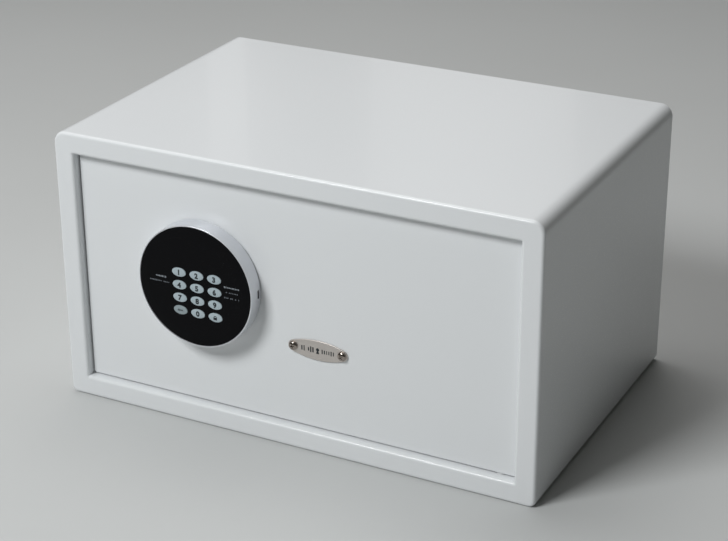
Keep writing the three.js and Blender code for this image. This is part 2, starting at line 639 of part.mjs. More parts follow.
{
  const inner = KEYPAD_R - RING_WALL;
  const shoulder = FASCIA_REAR + SEAM;
  const profile = [
    [inner, -SEAM], [inner, shoulder], [REBATE_R, shoulder], [REBATE_R, -KEYPAD_PROUD],
    [KEYPAD_R - RIM_CHAMFER, -KEYPAD_PROUD], [KEYPAD_R, -KEYPAD_PROUD + RIM_CHAMFER],
    [KEYPAD_R, -SEAM], [inner, -SEAM],
  ];
  const half = PORT_HEIGHT / 2;
  const slot = block(
    inner - 1, KEYPAD_R + 1, -PORT_FROM_DOOR - half, -PORT_FROM_DOOR + half,
    -PORT_LENGTH / 2, PORT_LENGTH / 2,
  );
  part(keypad, 'keypad_ring', turned(profile, ROUND_LARGE).subtract(slot), satinSilver);

  const socket = block(
    inner - PORT_DEPTH, inner - SEAM, -PORT_FROM_DOOR - half - PORT_SHELL, -BACK_SHEET - 2 * SEAM,
    -PORT_LENGTH / 2 - PORT_SHELL, PORT_LENGTH / 2 + PORT_SHELL,
  );
  const tongue = block(
    inner - 1, KEYPAD_R - 1, -PORT_FROM_DOOR - half + SEAM, -PORT_FROM_DOOR + half - SEAM,
    -PORT_LENGTH / 2 + SEAM, PORT_LENGTH / 2 - SEAM,
  );
  part(keypad, 'data_port', socket.add(tongue), blackPlastic);
}

// Keys in rows of three from the top: 1 to 9, then clear, 0 and enter.
const keyNames = ['1', '2', '3', '4', '5', '6', '7', '8', '9', 'clear', '0', 'enter'];
const keyPlaces = keyNames.map((label, index) => ({
  label,
  x: KEY_GRID_X + (index % 3 - 1) * KEY_PITCH_X,
  z: KEY_GRID_Z + (1.5 - Math.floor(index / 3)) * KEY_PITCH_Z,
}));

{
  let fascia = turned([
    [0, FASCIA_REAR], [REBATE_R - SEAM, FASCIA_REAR], [REBATE_R - SEAM, FASCIA_FRONT], [0, FASCIA_FRONT],
  ].reverse(), ROUND_LARGE);
  const keyHole = ellipse(KEY_HALF_WIDTH + KEY_FIT, KEY_HALF_HEIGHT + KEY_FIT);
  const hole = extrudeY(keyHole, FASCIA_FRONT - 1, FASCIA_REAR + 1, OVAL_STEPS);
  for (const { x, z } of keyPlaces) fascia = fascia.subtract(hole.translate([x, 0, z]));
  part(keypad, 'keypad_fascia', fascia, blackGlass);

  const capOval = ellipse(KEY_HALF_WIDTH, KEY_HALF_HEIGHT);
  const skirtOval = ellipse(KEY_HALF_WIDTH + KEY_RIM, KEY_HALF_HEIGHT + KEY_RIM);
  const cap = extrudeY(capOval, KEY_FACE, SKIRT_REAR - KEY_SKIRT / 2, OVAL_STEPS);
  const skirt = extrudeY(skirtOval, SKIRT_FRONT, SKIRT_REAR, OVAL_STEPS);
  const key = cap.add(skirt);
  for (const { label, x, z } of keyPlaces) part(keypad, `key_${label}`, key, keyPlastic, x, 0, z);
}

{
  const rear = KEYPAD_BOARD_FRONT + BOARD_SHEET;
  part(keypad, 'keypad_board', rodY(KEYPAD_BOARD_R, KEYPAD_BOARD_FRONT, rear, 0, 0, 2 * ROUND), boardGreen);

  const display = block(
    -DISPLAY_WIDTH / 2, DISPLAY_WIDTH / 2, SKIRT_FRONT, SKIRT_FRONT + DISPLAY_SHEET,
    DISPLAY_UP - DISPLAY_HEIGHT / 2, DISPLAY_UP + DISPLAY_HEIGHT / 2,
  );
  part(keypad, 'display_module', display, blackPlastic, KEY_GRID_X);

  // The back closes the ring, carries the board on posts and passes the lead through the door.
  const plateR = KEYPAD_R - RING_WALL - 2 * SEAM;
  const bore = BACK_TUBE_R - BACK_TUBE_WALL;
  const tubeEnd = DOOR_SHEET + BACK_TUBE_PAST_DOOR;
  let back = turned([
    [bore, -BACK_SHEET - SEAM], [plateR, -BACK_SHEET - SEAM], [plateR, -SEAM], [BACK_TUBE_R, -SEAM],
    [BACK_TUBE_R, tubeEnd], [bore, tubeEnd], [bore, -BACK_SHEET - SEAM],
  ], 2 * ROUND);
  for (let i = 0; i < 3; i += 1) {
    const angle = Math.PI / 2 + i * 2 * Math.PI / 3;
    const x = (KEYPAD_BOARD_R - BACK_POST_INSET) * Math.cos(angle);
    const z = (KEYPAD_BOARD_R - BACK_POST_INSET) * Math.sin(angle);
    back = back.add(rodY(BACK_POST_R, rear + SEAM, -BACK_SHEET, x, z, ROUND_SMALL));
  }
  part(keypad, 'keypad_back', back, blackPlastic);
}

// ------------------------------------------- emergency cylinder and badge

{
  const barrelFront = BARREL_BELOW_FACE;
  const barrelRear = barrelFront + BARREL_LENGTH;
  const bore = PLUG_R + SLIDE_FIT;
  const nut = DOOR_SHEET + SEAM;
  const barrel = turned([
    [bore, barrelFront], [BARREL_R, barrelFront], [BARREL_R, nut], [BARREL_NUT_R, nut],
    [BARREL_NUT_R, nut + BARREL_NUT], [BARREL_R, nut + BARREL_NUT], [BARREL_R, barrelRear],
    [bore, barrelRear], [bore, barrelFront],
  ], ROUND);
  part(override, 'override_barrel', barrel, brass);

  const plug = rodY(PLUG_R, barrelFront + SEAM, barrelRear, 0, 0);
  const keyway = block(
    -KEYWAY_WIDTH / 2, KEYWAY_WIDTH / 2, 0, barrelFront + KEYWAY_DEPTH,
    -KEYWAY_HEIGHT / 2, KEYWAY_HEIGHT / 2,
  );
  part(override, 'override_plug', plug.subtract(keyway), brass);

  const arm = new THREE.Shape();
  arm.absarc(0, 0, CAM_HALF_WIDTH, -Math.PI / 2, Math.PI / 2);
  arm.absarc(-CAM_REACH + CAM_HALF_WIDTH, 0, CAM_HALF_WIDTH, Math.PI / 2, 1.5 * Math.PI);
  part(override, 'override_cam', extrudeY(arm, barrelRear + SEAM, barrelRear + SEAM + CAM_SHEET), zincSteel);

  const oval = lens(BADGE_HALF_LENGTH, BADGE_HALF_HEIGHT, BADGE_END_R);
  let badge = extrudeY(oval, -SEAM - BADGE_SHEET, -SEAM, OVAL_STEPS);
  for (const side of [-1, 1]) {
    const x = side * BADGE_SCREW_SPACING / 2;
    badge = badge.subtract(rodY(SMALL_SCREW_R + HOLE_FIT, -SEAM - BADGE_SHEET - 1, 0, x, 0, ROUND_SMALL));
  }
  part(override, 'badge_plate', badge, brushedSteel);

  const seat = -2 * SEAM - BADGE_SHEET;
  const screw = domeScrew(SMALL_SCREW_R, DOOR_SHEET - SEAM - seat);
  part(override, 'badge_screw_left', screw, brightSteel, -BADGE_SCREW_SPACING / 2, seat);
  part(override, 'badge_screw_right', screw, brightSteel, BADGE_SCREW_SPACING / 2, seat);
}

// ---------------------------------------------------------- bolt mechanism

// Corners where the cover is screwed to posts on the chassis.
const leftPostX = COVER_LEFT + COVER_SHEET + SEAM + BOLT_BUSH_LENGTH + 1 + POST_R;
const rightPostX = CHASSIS_RIGHT - POST_TO_EDGE;
const postPlaces = [];
for (const z of [MECHANISM_TOP - POST_R - 1, MECHANISM_BOTTOM + POST_R + 1]) {
  for (const x of [leftPostX, rightPostX]) postPlaces.push([x, z]);
}

{
  const postEnd = COVER_INNER_REAR - SEAM;
  const plate = block(
    CHASSIS_LEFT, CHASSIS_RIGHT, CHASSIS_FRONT, CHASSIS_REAR, MECHANISM_BOTTOM, MECHANISM_TOP,
  );
  const flange = block(
    CHASSIS_LEFT, CHASSIS_LEFT + CHASSIS_SHEET, CHASSIS_FRONT, CHASSIS_REAR + CHASSIS_FLANGE,
    MECHANISM_BOTTOM, MECHANISM_TOP,
  );
  let chassis = plate.add(flange);
  for (const [x, z] of postPlaces) {
    chassis = chassis.add(rodY(POST_R, CHASSIS_FRONT + 1, postEnd, x, z, ROUND_SMALL));
  }
  for (const x of [BOARD_LEFT + STANDOFF_INSET, BOARD_RIGHT - STANDOFF_INSET]) {
    for (const z of [BOARD_BOTTOM + STANDOFF_INSET, BOARD_TOP - STANDOFF_INSET]) {
      chassis = chassis.add(rodY(STANDOFF_R, CHASSIS_FRONT + 1, BOARD_FRONT - SEAM, x, z, ROUND_SMALL));
    }
  }
  for (const [x, z] of postPlaces) {
    const hole = rodY(COVER_SCREW_R + HOLE_FIT, postEnd - POST_HOLE_DEPTH, postEnd + 1, x, z, ROUND_SMALL);
    chassis = chassis.subtract(hole);
  }
  for (const z of boltHeights) {
    const hole = BOLT_R + SLIDE_FIT + BOLT_BUSH_WALL + SEAM;
    chassis = chassis.subtract(rodX(hole, CHASSIS_LEFT - 1, CHASSIS_LEFT + CHASSIS_SHEET + 1, BOLT_Y, z));
  }
  const through = [CHASSIS_FRONT - 1, CHASSIS_REAR + 1];
  chassis = chassis.subtract(rodY(BACK_TUBE_R + LEAD_HOLE_FIT, ...through, KEYPAD_X, KEYPAD_Z));
  chassis = chassis.subtract(rodY(BARREL_NUT_R + HOLE_FIT, ...through, OVERRIDE_X, OVERRIDE_Z));
  part(door, 'lock_chassis', chassis, zincSteel);
}

// Bushes guide the bolts through the chassis flange; bolt tails fit the carrier.
{
  const bushLeft = COVER_LEFT + COVER_SHEET + SEAM;
  const bore = BOLT_R + SLIDE_FIT;
  const bush = turned([
    [bore, 0], [bore + BOLT_BUSH_WALL, 0], [bore + BOLT_BUSH_WALL, BOLT_BUSH_LENGTH],
    [bore, BOLT_BUSH_LENGTH], [bore, 0],
  ], ROUND);
  const shoulder = BOLT_LENGTH - SEAM;
  const bolt = turned([
    [0, shoulder + BOLT_SPIGOT], [BOLT_SPIGOT_R, shoulder + BOLT_SPIGOT], [BOLT_SPIGOT_R, shoulder],
    [BOLT_R, shoulder], [BOLT_R, BOLT_CHAMFER], [BOLT_R - BOLT_CHAMFER, 0], [0, 0],
  ].reverse(), ROUND);
  for (const [name, z] of [['upper', boltHeights[0]], ['lower', boltHeights[1]]]) {
    part(door, `bolt_bush_${name}`, bush, bronze, bushLeft, BOLT_Y, z).rotation.z = -Math.PI / 2;
    part(door, `bolt_${name}`, bolt, brightSteel, BOLT_TIP_X, BOLT_Y, z).rotation.z = -Math.PI / 2;
  }
}

// One tooth's half angle at a radius of the pinion: an involute flank.
function toothHalfAngle(radius) {
  const involute = (angle) => Math.tan(angle) - angle;
  const base = PITCH_R * Math.cos(PRESSURE_ANGLE);
  const flank = Math.acos(Math.min(base / radius, 1));
  const atPitch = (GEAR_PITCH / 2 - GEAR_BACKLASH) / 2 / PITCH_R;
  return atPitch + involute(PRESSURE_ANGLE) - involute(flank);
}

function pinionOutline() {
  const root = PITCH_R - GEAR_DEDENDUM;
  const base = PITCH_R * Math.cos(PRESSURE_ANGLE);
  const tip = PITCH_R + GEAR_ADDENDUM;
  const radii = [root, base, PITCH_R, tip];
  const points = [];
  for (let tooth = 0; tooth < PINION_TEETH; tooth += 1) {
    const middle = -Math.PI / 2 + tooth * 2 * Math.PI / PINION_TEETH;
    for (const radius of radii) {
      const angle = middle - toothHalfAngle(radius);
      points.push(new THREE.Vector2(radius * Math.cos(angle), radius * Math.sin(angle)));
    }
    for (const radius of [...radii].reverse()) {
      const angle = middle + toothHalfAngle(radius);
      points.push(new THREE.Vector2(radius * Math.cos(angle), radius * Math.sin(angle)));
    }
  }
  return new THREE.Shape(points);
}

// A rack arm with its teeth up; a gap between two teeth lies under the pinion.
function rackOutline(left, firstTooth, lastTooth) {
  const slope = Math.tan(PRESSURE_ANGLE);
  const half = (GEAR_PITCH / 2 - GEAR_BACKLASH) / 2;
  const rootZ = MIDDLE_Z - GEAR_DEDENDUM;
  const tipZ = MIDDLE_Z + GEAR_ADDENDUM;
  const right = PINION_X + (lastTooth + 1) * GEAR_PITCH + 1;
  const points = [
    new THREE.Vector2(left, rootZ - RACK_BODY), new THREE.Vector2(right, rootZ - RACK_BODY),
    new THREE.Vector2(right, rootZ),
  ];
  for (let tooth = lastTooth; tooth >= firstTooth; tooth -= 1) {
    const x = PINION_X + (tooth + 0.5) * GEAR_PITCH;
    const wide = half + GEAR_DEDENDUM * slope;
    const narrow = half - GEAR_ADDENDUM * slope;
    points.push(new THREE.Vector2(x + wide, rootZ), new THREE.Vector2(x + narrow, tipZ));
    points.push(new THREE.Vector2(x - narrow, tipZ), new THREE.Vector2(x - wide, rootZ));
  }
  points.push(new THREE.Vector2(left, rootZ));
  return new THREE.Shape(points);
}

{
  const teethPast = Math.ceil(BOLT_TRAVEL / GEAR_PITCH);
  const reach = BOLT_SPACING / 2 + CARRIER_PAST_BOLT;
  let carrier = block(
    CARRIER_X, CARRIER_RIGHT, CARRIER_FRONT, CARRIER_FRONT + CARRIER_DEPTH,
    MIDDLE_Z - reach, MIDDLE_Z + reach,
  );
  const teeth = rackOutline(CARRIER_RIGHT - 1, -TEETH_BEFORE, TEETH_AFTER + teethPast);
  const rack = extrudeY(teeth, GEAR_FRONT, GEAR_FRONT + GEAR_WIDTH);
  carrier = carrier.add(rack);
  for (const z of boltHeights) {
    carrier = carrier.subtract(rodX(BOLT_SPIGOT_R + HOLE_FIT, CARRIER_X - 1, CARRIER_RIGHT + 1, BOLT_Y, z));
  }
  part(door, 'bolt_carrier', carrier, zincSteel);

  const gear = extrudeY(pinionOutline(), GEAR_FRONT, GEAR_FRONT + GEAR_WIDTH);
  const shaft = rodY(PINION_SHAFT_R, GEAR_FRONT + 1, GEARBOX_FRONT + PINION_SHAFT, 0, 0, ROUND_SMALL);
  part(door, 'drive_pinion', gear.add(shaft), brass, PINION_X, 0, PINION_Z);
}

// The gearbox stands behind the pinion on a foot that reaches the chassis.
{
  const left = PINION_X - GEARBOX_HALF_WIDTH;
  const right = PINION_X + GEARBOX_HALF_WIDTH;
  const bottom = PINION_Z - GEARBOX_HEIGHT / 2;
  const footBottom = PINION_Z + PITCH_R + GEAR_ADDENDUM + GEARBOX_FOOT_GAP;
  const rear = GEARBOX_FRONT + GEARBOX_DEPTH;
  const box = block(left, right, GEARBOX_FRONT, rear, bottom, footBottom + GEARBOX_FOOT);
  const footRight = Math.min(right, KEYPAD_X - BACK_TUBE_R - LEAD_HOLE_FIT - 1);
  const foot = block(left, footRight, CHASSIS_REAR + SEAM, rear - 1, footBottom, footBottom + GEARBOX_FOOT);
  const bore = rodY(
    PINION_SHAFT_R + SLIDE_FIT, GEARBOX_FRONT - 1, GEARBOX_FRONT + PINION_SHAFT + 1,
    PINION_X, PINION_Z, ROUND_SMALL,
  );
  part(door, 'motor_gearbox', box.add(foot).subtract(bore), blackPlastic);

  const motorZ = MIDDLE_Z + MOTOR_ABOVE_RACK;
  const motorY = rear - MOTOR_R;
  const can = rodX(MOTOR_R, right + SEAM, right + SEAM + MOTOR_LENGTH, motorY, motorZ);
  const bossStart = right + MOTOR_LENGTH;
  const boss = rodX(MOTOR_BOSS_R, bossStart, bossStart + MOTOR_BOSS, motorY, motorZ, ROUND_SMALL);
  part(door, 'lock_motor', can.add(boss), brightSteel);
}

// The override bar runs from the carrier to the cylinder. Its notch clears the cam's
// whole turn at both ends of the bolts' travel.
{
  const end = OVERRIDE_X + CAM_HALF_WIDTH + SLIDE_FIT + BOLT_TRAVEL + BAR_END;
  const bar = block(
    CARRIER_RIGHT + SEAM, end, CAM_FRONT, CAM_FRONT + BAR_SHEET, BAR_TOP - BAR_HEIGHT, BAR_TOP,
  );
  const notchLeft = OVERRIDE_X - Math.sqrt(CAM_REACH ** 2 - BAR_TOP_BELOW_CAM ** 2) - 2 * SLIDE_FIT;
  const notch = block(
    notchLeft, end - BAR_END, CAM_FRONT - 1, CAM_FRONT + BAR_SHEET + 1, BAR_TOP - BAR_NOTCH, BAR_TOP + 1,
  );
  part(door, 'override_bar', bar.subtract(notch), zincSteel);
}

// ---------------------------------------------------- board, batteries, cover

{
  const rear = BOARD_FRONT + BOARD_SHEET;
  let board = block(BOARD_LEFT, BOARD_RIGHT, BOARD_FRONT, rear, BOARD_BOTTOM, BOARD_TOP);
  for (const { along, up, size, high } of BOARD_CHIPS) {
    const x = BOARD_LEFT + along;
    const z = BOARD_BOTTOM + up;
    board = board.add(block(x - size / 2, x + size / 2, rear - 0.5, rear + high, z - size / 3, z + size / 3));
  }
  part(door, 'control_board', board, boardGreen);
}

const lidOpening = {
  x0: BATTERY_X - TRAY_HALF_WIDTH + 1,
  x1: BATTERY_X + TRAY_HALF_WIDTH - 1,
  z0: TRAY_BOTTOM + 1,
  z1: TRAY_TOP - 1,
};

{
  const left = BATTERY_X - TRAY_HALF_WIDTH;
  const right = BATTERY_X + TRAY_HALF_WIDTH;
  const rear = COVER_INNER_REAR - SEAM;
  let tray = block(left, right, TRAY_FRONT, rear, TRAY_BOTTOM, TRAY_TOP);
  tray = tray.subtract(block(
    left + TRAY_SHEET, right - TRAY_SHEET, TRAY_FRONT + TRAY_SHEET, rear + 1,
    TRAY_BOTTOM + TRAY_SHEET, TRAY_TOP - TRAY_SHEET,
  ));
  for (const x of [left, right - TRAY_FOOT]) {
    for (const z of [TRAY_BOTTOM, TRAY_TOP - TRAY_FOOT]) {
      const low = Math.max(z, MECHANISM_BOTTOM + 1);
      tray = tray.add(block(x, x + TRAY_FOOT, CHASSIS_REAR + SEAM, TRAY_FRONT + 1, low, z + TRAY_FOOT));
    }
  }
  part(door, 'battery_tray', tray, blackPlastic);

  const middle = (TRAY_BOTTOM + TRAY_TOP) / 2;
  const end = CELL_LENGTH / 2;
  const profile = [
    [0, -end], [CELL_R, -end], [CELL_R, end - CELL_NUB], [CELL_NUB_R, end - CELL_NUB],
    [CELL_NUB_R, end], [0, end],
  ];
  const cell = turned(profile, ROUND);
  for (let i = 0; i < CELL_COUNT; i += 1) {
    const x = BATTERY_X + (i - (CELL_COUNT - 1) / 2) * CELL_PITCH;
    const turn = i % 2 === 0 ? Math.PI / 2 : -Math.PI / 2;
    part(door, `battery_cell_${i + 1}`, cell, cellSleeve, x, CELL_Y, middle).rotation.x = turn;
  }
}

{
  const bottom = MECHANISM_BOTTOM - COVER_MARGIN;
  const top = MECHANISM_TOP + COVER_MARGIN;
  let cover = block(COVER_LEFT, COVER_RIGHT, COVER_FRONT, COVER_REAR, bottom, top);
  cover = cover.subtract(block(
    COVER_LEFT + COVER_SHEET, COVER_RIGHT - COVER_SHEET, COVER_FRONT - 1, COVER_INNER_REAR,
    bottom + COVER_SHEET, top - COVER_SHEET,
  ));
  for (const z of boltHeights) {
    const hole = rodX(BOLT_R + 2 * SLIDE_FIT, COVER_LEFT - 1, COVER_LEFT + COVER_SHEET + 1, BOLT_Y, z);
    cover = cover.subtract(hole);
  }
  const { x0, x1, z0, z1 } = lidOpening;
  cover = cover.subtract(block(x0, x1, COVER_INNER_REAR - 1, COVER_REAR + 1, z0, z1));
  for (const [x, z] of postPlaces) {
    const hole = rodY(COVER_SCREW_R + HOLE_FIT, COVER_INNER_REAR - 1, COVER_REAR + 1, x, z, ROUND_SMALL);
    cover = cover.subtract(hole);
  }
  const lidScrewZ = z1 + LID_LAP + LID_TAB / 2;
  const lidScrewHole = rodY(
    SMALL_SCREW_R + HOLE_FIT, COVER_INNER_REAR - 1, COVER_REAR + LID_SHEET + 1,
    BATTERY_X, lidScrewZ, ROUND_SMALL,
  );
  part(door, 'lock_cover', cover.subtract(lidScrewHole), whiteLacquer);

  const lidFront = COVER_REAR + SEAM;
  const lidRear = lidFront + LID_SHEET;
  const ridge = block(
    x0 + SEAM, x1 - SEAM, COVER_INNER_REAR + SEAM, lidFront + 1, z0 + SEAM, z1 - SEAM,
  );
  const tab = block(
    BATTERY_X - LID_TAB_HALF_WIDTH, BATTERY_X + LID_TAB_HALF_WIDTH, lidFront, lidRear,
    z1, z1 + LID_LAP + LID_TAB,
  );
  const lid = block(x0 - LID_LAP, x1 + LID_LAP, lidFront, lidRear, z0 - LID_LAP, z1 + LID_LAP)
    .add(ridge).add(tab).subtract(lidScrewHole);
  part(door, 'battery_lid', lid, blackPlastic);

  const lidScrew = domeScrew(SMALL_SCREW_R, LID_SCREW_LENGTH);
  part(door, 'lid_screw', lidScrew, brightSteel, BATTERY_X, lidRear + SEAM, lidScrewZ).rotation.x = Math.PI;

  const screw = domeScrew(COVER_SCREW_R, COVER_SCREW_LENGTH);
  postPlaces.forEach(([x, z], index) => {
    part(door, `cover_screw_${index + 1}`, screw, brightSteel, x, COVER_REAR + SEAM, z).rotation.x = Math.PI;
  });
}

// The keypad's lead runs through the door to the control board.
{
  const start = DOOR_FACE + KEYPAD_BOARD_FRONT + BOARD_SHEET + SEAM;
  const route = new THREE.CatmullRomCurve3([
    new THREE.Vector3(KEYPAD_X, start, KEYPAD_Z),
    new THREE.Vector3(KEYPAD_X, DOOR_FACE, KEYPAD_Z),
    new THREE.Vector3(KEYPAD_X, CHASSIS_FRONT, KEYPAD_Z),
    new THREE.Vector3(KEYPAD_X + 1, CHASSIS_REAR + 3, KEYPAD_Z + 2),
    new THREE.Vector3(KEYPAD_X + 6, CHASSIS_REAR + 4.5, KEYPAD_Z + 9),
    new THREE.Vector3(KEYPAD_X + 22, CHASSIS_REAR + 4.5, KEYPAD_Z + 22),
    new THREE.Vector3(BOARD_LEFT + 12, CHASSIS_REAR + 5, BOARD_TOP - 18),
    new THREE.Vector3(BOARD_LEFT + 20, CHASSIS_REAR + 10, BOARD_TOP - 20),
    new THREE.Vector3(BOARD_LEFT + 20, BOARD_FRONT - SEAM, BOARD_TOP - 20),
  ]);
  const section = new THREE.Shape();
  section.absarc(0, 0, LEAD_R, 0, 2 * Math.PI);
  const geometry = new THREE.ExtrudeGeometry(section, {
    steps: LEAD_STEPS, extrudePath: route, bevelEnabled: false, curveSegments: LEAD_SIDES / 2,
  });
  part(door, 'keypad_lead', solid(geometry), leadSleeve);
}

export default safe;
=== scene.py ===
# %% [markdown]
# # A hotel-room safe, finished over its CAD frame
# The safe is a folded steel box with one door. On the door are a round keypad,
# which stands proud of it, and a small oval steel plate held by two dome screws.
# The CAD model already says where everything is and how it moves. This lesson
# gives each piece the edges, finish and small detail that make it look real.

# %% Load the frame
import json
import math

import bmesh
import bpy
from mathutils import Matrix, Quaternion, Vector, noise


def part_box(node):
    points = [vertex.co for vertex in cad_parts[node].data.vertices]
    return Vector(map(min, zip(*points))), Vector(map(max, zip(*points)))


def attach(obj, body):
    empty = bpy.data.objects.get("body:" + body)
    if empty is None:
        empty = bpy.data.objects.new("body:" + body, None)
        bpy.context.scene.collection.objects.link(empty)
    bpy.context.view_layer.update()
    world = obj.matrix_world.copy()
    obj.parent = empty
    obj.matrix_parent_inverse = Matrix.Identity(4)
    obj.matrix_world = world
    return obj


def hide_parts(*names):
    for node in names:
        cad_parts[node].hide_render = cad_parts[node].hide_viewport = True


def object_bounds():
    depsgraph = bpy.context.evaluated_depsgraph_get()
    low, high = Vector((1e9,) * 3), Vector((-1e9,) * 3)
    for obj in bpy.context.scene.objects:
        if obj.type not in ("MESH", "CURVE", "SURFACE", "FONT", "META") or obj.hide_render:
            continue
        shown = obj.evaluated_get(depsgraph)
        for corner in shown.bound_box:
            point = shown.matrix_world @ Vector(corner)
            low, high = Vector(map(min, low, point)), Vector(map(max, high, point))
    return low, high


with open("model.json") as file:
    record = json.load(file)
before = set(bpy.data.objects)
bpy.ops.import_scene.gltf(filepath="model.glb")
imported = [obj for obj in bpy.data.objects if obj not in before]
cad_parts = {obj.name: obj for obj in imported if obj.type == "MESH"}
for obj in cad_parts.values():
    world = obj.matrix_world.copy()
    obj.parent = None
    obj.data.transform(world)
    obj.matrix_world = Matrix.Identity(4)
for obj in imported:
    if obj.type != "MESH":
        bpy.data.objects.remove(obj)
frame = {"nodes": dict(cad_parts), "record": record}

MM = 0.001
cad_low, cad_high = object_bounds()
scene = bpy.context.scene
print("CAD box in mm:", [round(side / MM, 1) for side in cad_high - cad_low])

# %% [markdown]
# ## Camera
# The safe is seen from its right and from above, with a long lens, so its edges
# run almost parallel. A camera needs a place, a turn, a tilt and a lens. The
# turn and tilt are kept as plain angles because they are easy to check by eye.

# %% Camera
LENS = 94.16
CAMERA_PLACE = Vector((0.7062, -1.3770, 0.8118))
CAMERA_TURN = math.radians(27.295)
CAMERA_TILT = math.radians(24.55)
CAMERA_ROLL = math.radians(-0.284)


def linked(name, data):
    """A new object in the scene."""
    thing = bpy.data.objects.new(name, data)
    scene.collection.objects.link(thing)
    return thing


def aim(thing, place, direction, roll=0.0):
    """Puts a camera or a lamp at place and turns it along direction."""
    thing.location = place
    thing.rotation_mode = "QUATERNION"
    thing.rotation_quaternion = direction.to_track_quat("-Z", "Y") @ Quaternion((0, 0, 1), roll)


camera = linked("camera", bpy.data.cameras.new("camera"))
camera.data.lens = LENS
scene.camera = camera
away = Vector((
    -math.sin(CAMERA_TURN) * math.cos(CAMERA_TILT),
    math.cos(CAMERA_TURN) * math.cos(CAMERA_TILT),
    -math.sin(CAMERA_TILT),
))
aim(camera, CAMERA_PLACE, away, CAMERA_ROLL)
print("camera looks along", [round(part, 3) for part in away])

# %% [markdown]
# ## Light
# White lacquer shows its shape only through soft differences of light. A large
# softbox in front, above and a little to the left lights the door, and a second
# one overhead lights the top. Two dim upright panels behind the safe show in the
# gloss of the top, as windows would. The right side gets only what the room
# gives back, so it reads as the shaded side.

# %% Light
scene.view_settings.view_transform = "Standard"

# name, place, point aimed at, width, height, watts, colour
SOFTBOXES = [
    ("key_light", (-0.85, -1.90, 2.05), (0, 0, 0.1), 1.0, 0.8, 54, (0.975, 0.992, 1)),
    ("top_light", (-0.5, 0.5, 2.2), (0, 0, 0.2), 1.8, 1.4, 22, (1, 0.99, 0.985)),
    ("wide_window", (-1.05, 2.6, 1.35), (0.1, 0, 0.25), 0.5, 0.8, 0.55, (1, 1, 1)),
    ("narrow_window", (-1.74, 2.6, 1.3), (-0.15, 0, 0.25), 0.1, 0.8, 0.14, (1, 1, 1)),
]
ROOM_COLOUR = (0.86, 0.88, 0.82, 1)
ROOM_STRENGTH = 0.06

for name, place, target, width, tall, watts, tint in SOFTBOXES:
    lamp = bpy.data.lights.new(name, "AREA")
    lamp.shape = "RECTANGLE"
    lamp.size, lamp.size_y = width, tall
    lamp.energy = watts
    lamp.color = tint
    aim(linked(name, lamp), place, Vector(target) - Vector(place))

room = bpy.data.worlds.new("room")
room.use_nodes = True
scene.world = room
glow = room.node_tree.nodes["Background"]
glow.inputs["Color"].default_value = ROOM_COLOUR
glow.inputs["Strength"].default_value = ROOM_STRENGTH

# %% [markdown]
# ## Sums on sockets
# A finish is a tree of nodes. Written node by node it is hard to read, so a
# small class stands for one socket and turns +, -, *, < and > into Math nodes.
# Every other node comes from one method, which sets the node's own settings
# first and its sockets after them. The same method serves Geometry Nodes.

# %% Node trees written as sums
class Wire:
    """One output socket. Sums on it add Math nodes to its tree."""

    def __init__(self, graph, socket):
        self.graph, self.socket = graph, socket

    def math(self, operation, first, second):
        return self.graph.node("ShaderNodeMath", {"operation": operation}, {0: first, 1: second})

    def __add__(self, other):
        return self.math("ADD", self, other)

    def __radd__(self, other):
        return self.math("ADD", other, self)

    def __sub__(self, other):
        return self.math("SUBTRACT", self, other)

    def __rsub__(self, other):
        return self.math("SUBTRACT", other, self)

    def __mul__(self, other):
        return self.math("MULTIPLY", self, other)

    def __rmul__(self, other):
        return self.math("MULTIPLY", other, self)

    def __gt__(self, other):
        return self.math("GREATER_THAN", self, other)

    def __lt__(self, other):
        return self.math("LESS_THAN", self, other)


class Graph:
    """A node tree under construction."""

    def __init__(self, tree):
        self.tree = tree

    def node(self, kind, settings=None, inputs=None, output=0):
        made = self.tree.nodes.new(kind)
        for name, value in (settings or {}).items():
            setattr(made, name, value)
        for name, value in (inputs or {}).items():
            self.join(made.inputs[name], value)
        return Wire(self, made.outputs[output])

    def join(self, socket, value):
        if isinstance(value, Wire):
            self.tree.links.new(value.socket, socket)
        else:
            socket.default_value = value

    def random(self, low, high, seed):
        """A random number for each point, from a fixed seed."""
        return self.node("FunctionNodeRandomValue", {"data_type": "FLOAT"}, {
            2: low, 3: high, 8: seed,
        }, 1)


class Finish(Graph):
    """A material whose patterns are in metres on the piece's own coordinates."""

    def __init__(self, name, **fixed):
        self.material = bpy.data.materials.new(name)
        self.material.use_nodes = True
        super().__init__(self.material.node_tree)
        self.tree.nodes.clear()
        self.shader = self.tree.nodes.new("ShaderNodeBsdfPrincipled")
        end = self.tree.nodes.new("ShaderNodeOutputMaterial")
        self.tree.links.new(self.shader.outputs[0], end.inputs["Surface"])
        self.place = self.node("ShaderNodeTexCoord", output="Object")
        self.set(**fixed)

    def set(self, **sockets):
        for name, value in sockets.items():
            self.join(self.shader.inputs[name.replace("_", " ")], value)
        return self

    def grain(self, scale, detail=2.0, stretch=(1, 1, 1)):
        where = self.place
        if stretch != (1, 1, 1):
            where = self.node("ShaderNodeMapping", None, {"Vector": where, "Scale": stretch})
        return self.node("ShaderNodeTexNoise", None, {
            "Vector": where, "Scale": scale, "Detail": detail,
        })

    def cells(self, scale, output="Distance"):
        return self.node("ShaderNodeTexVoronoi", None, {
            "Vector": self.place, "Scale": scale,
        }, output)

    def blend(self, share, first, second):
        """Mixes two colours. The Mix node has sockets of the same name, so these go by number."""
        return self.node("ShaderNodeMix", {"data_type": "RGBA"}, {
            0: share, 6: as_colour(first), 7: as_colour(second),
        }, 2)

    def relief(self, height):
        """A bump whose height is in metres."""
        return self.node("ShaderNodeBump", None, {"Height": height, "Distance": 1.0})


def as_colour(value):
    return value if isinstance(value, Wire) else (*value, 1.0)


print("node helpers ready")

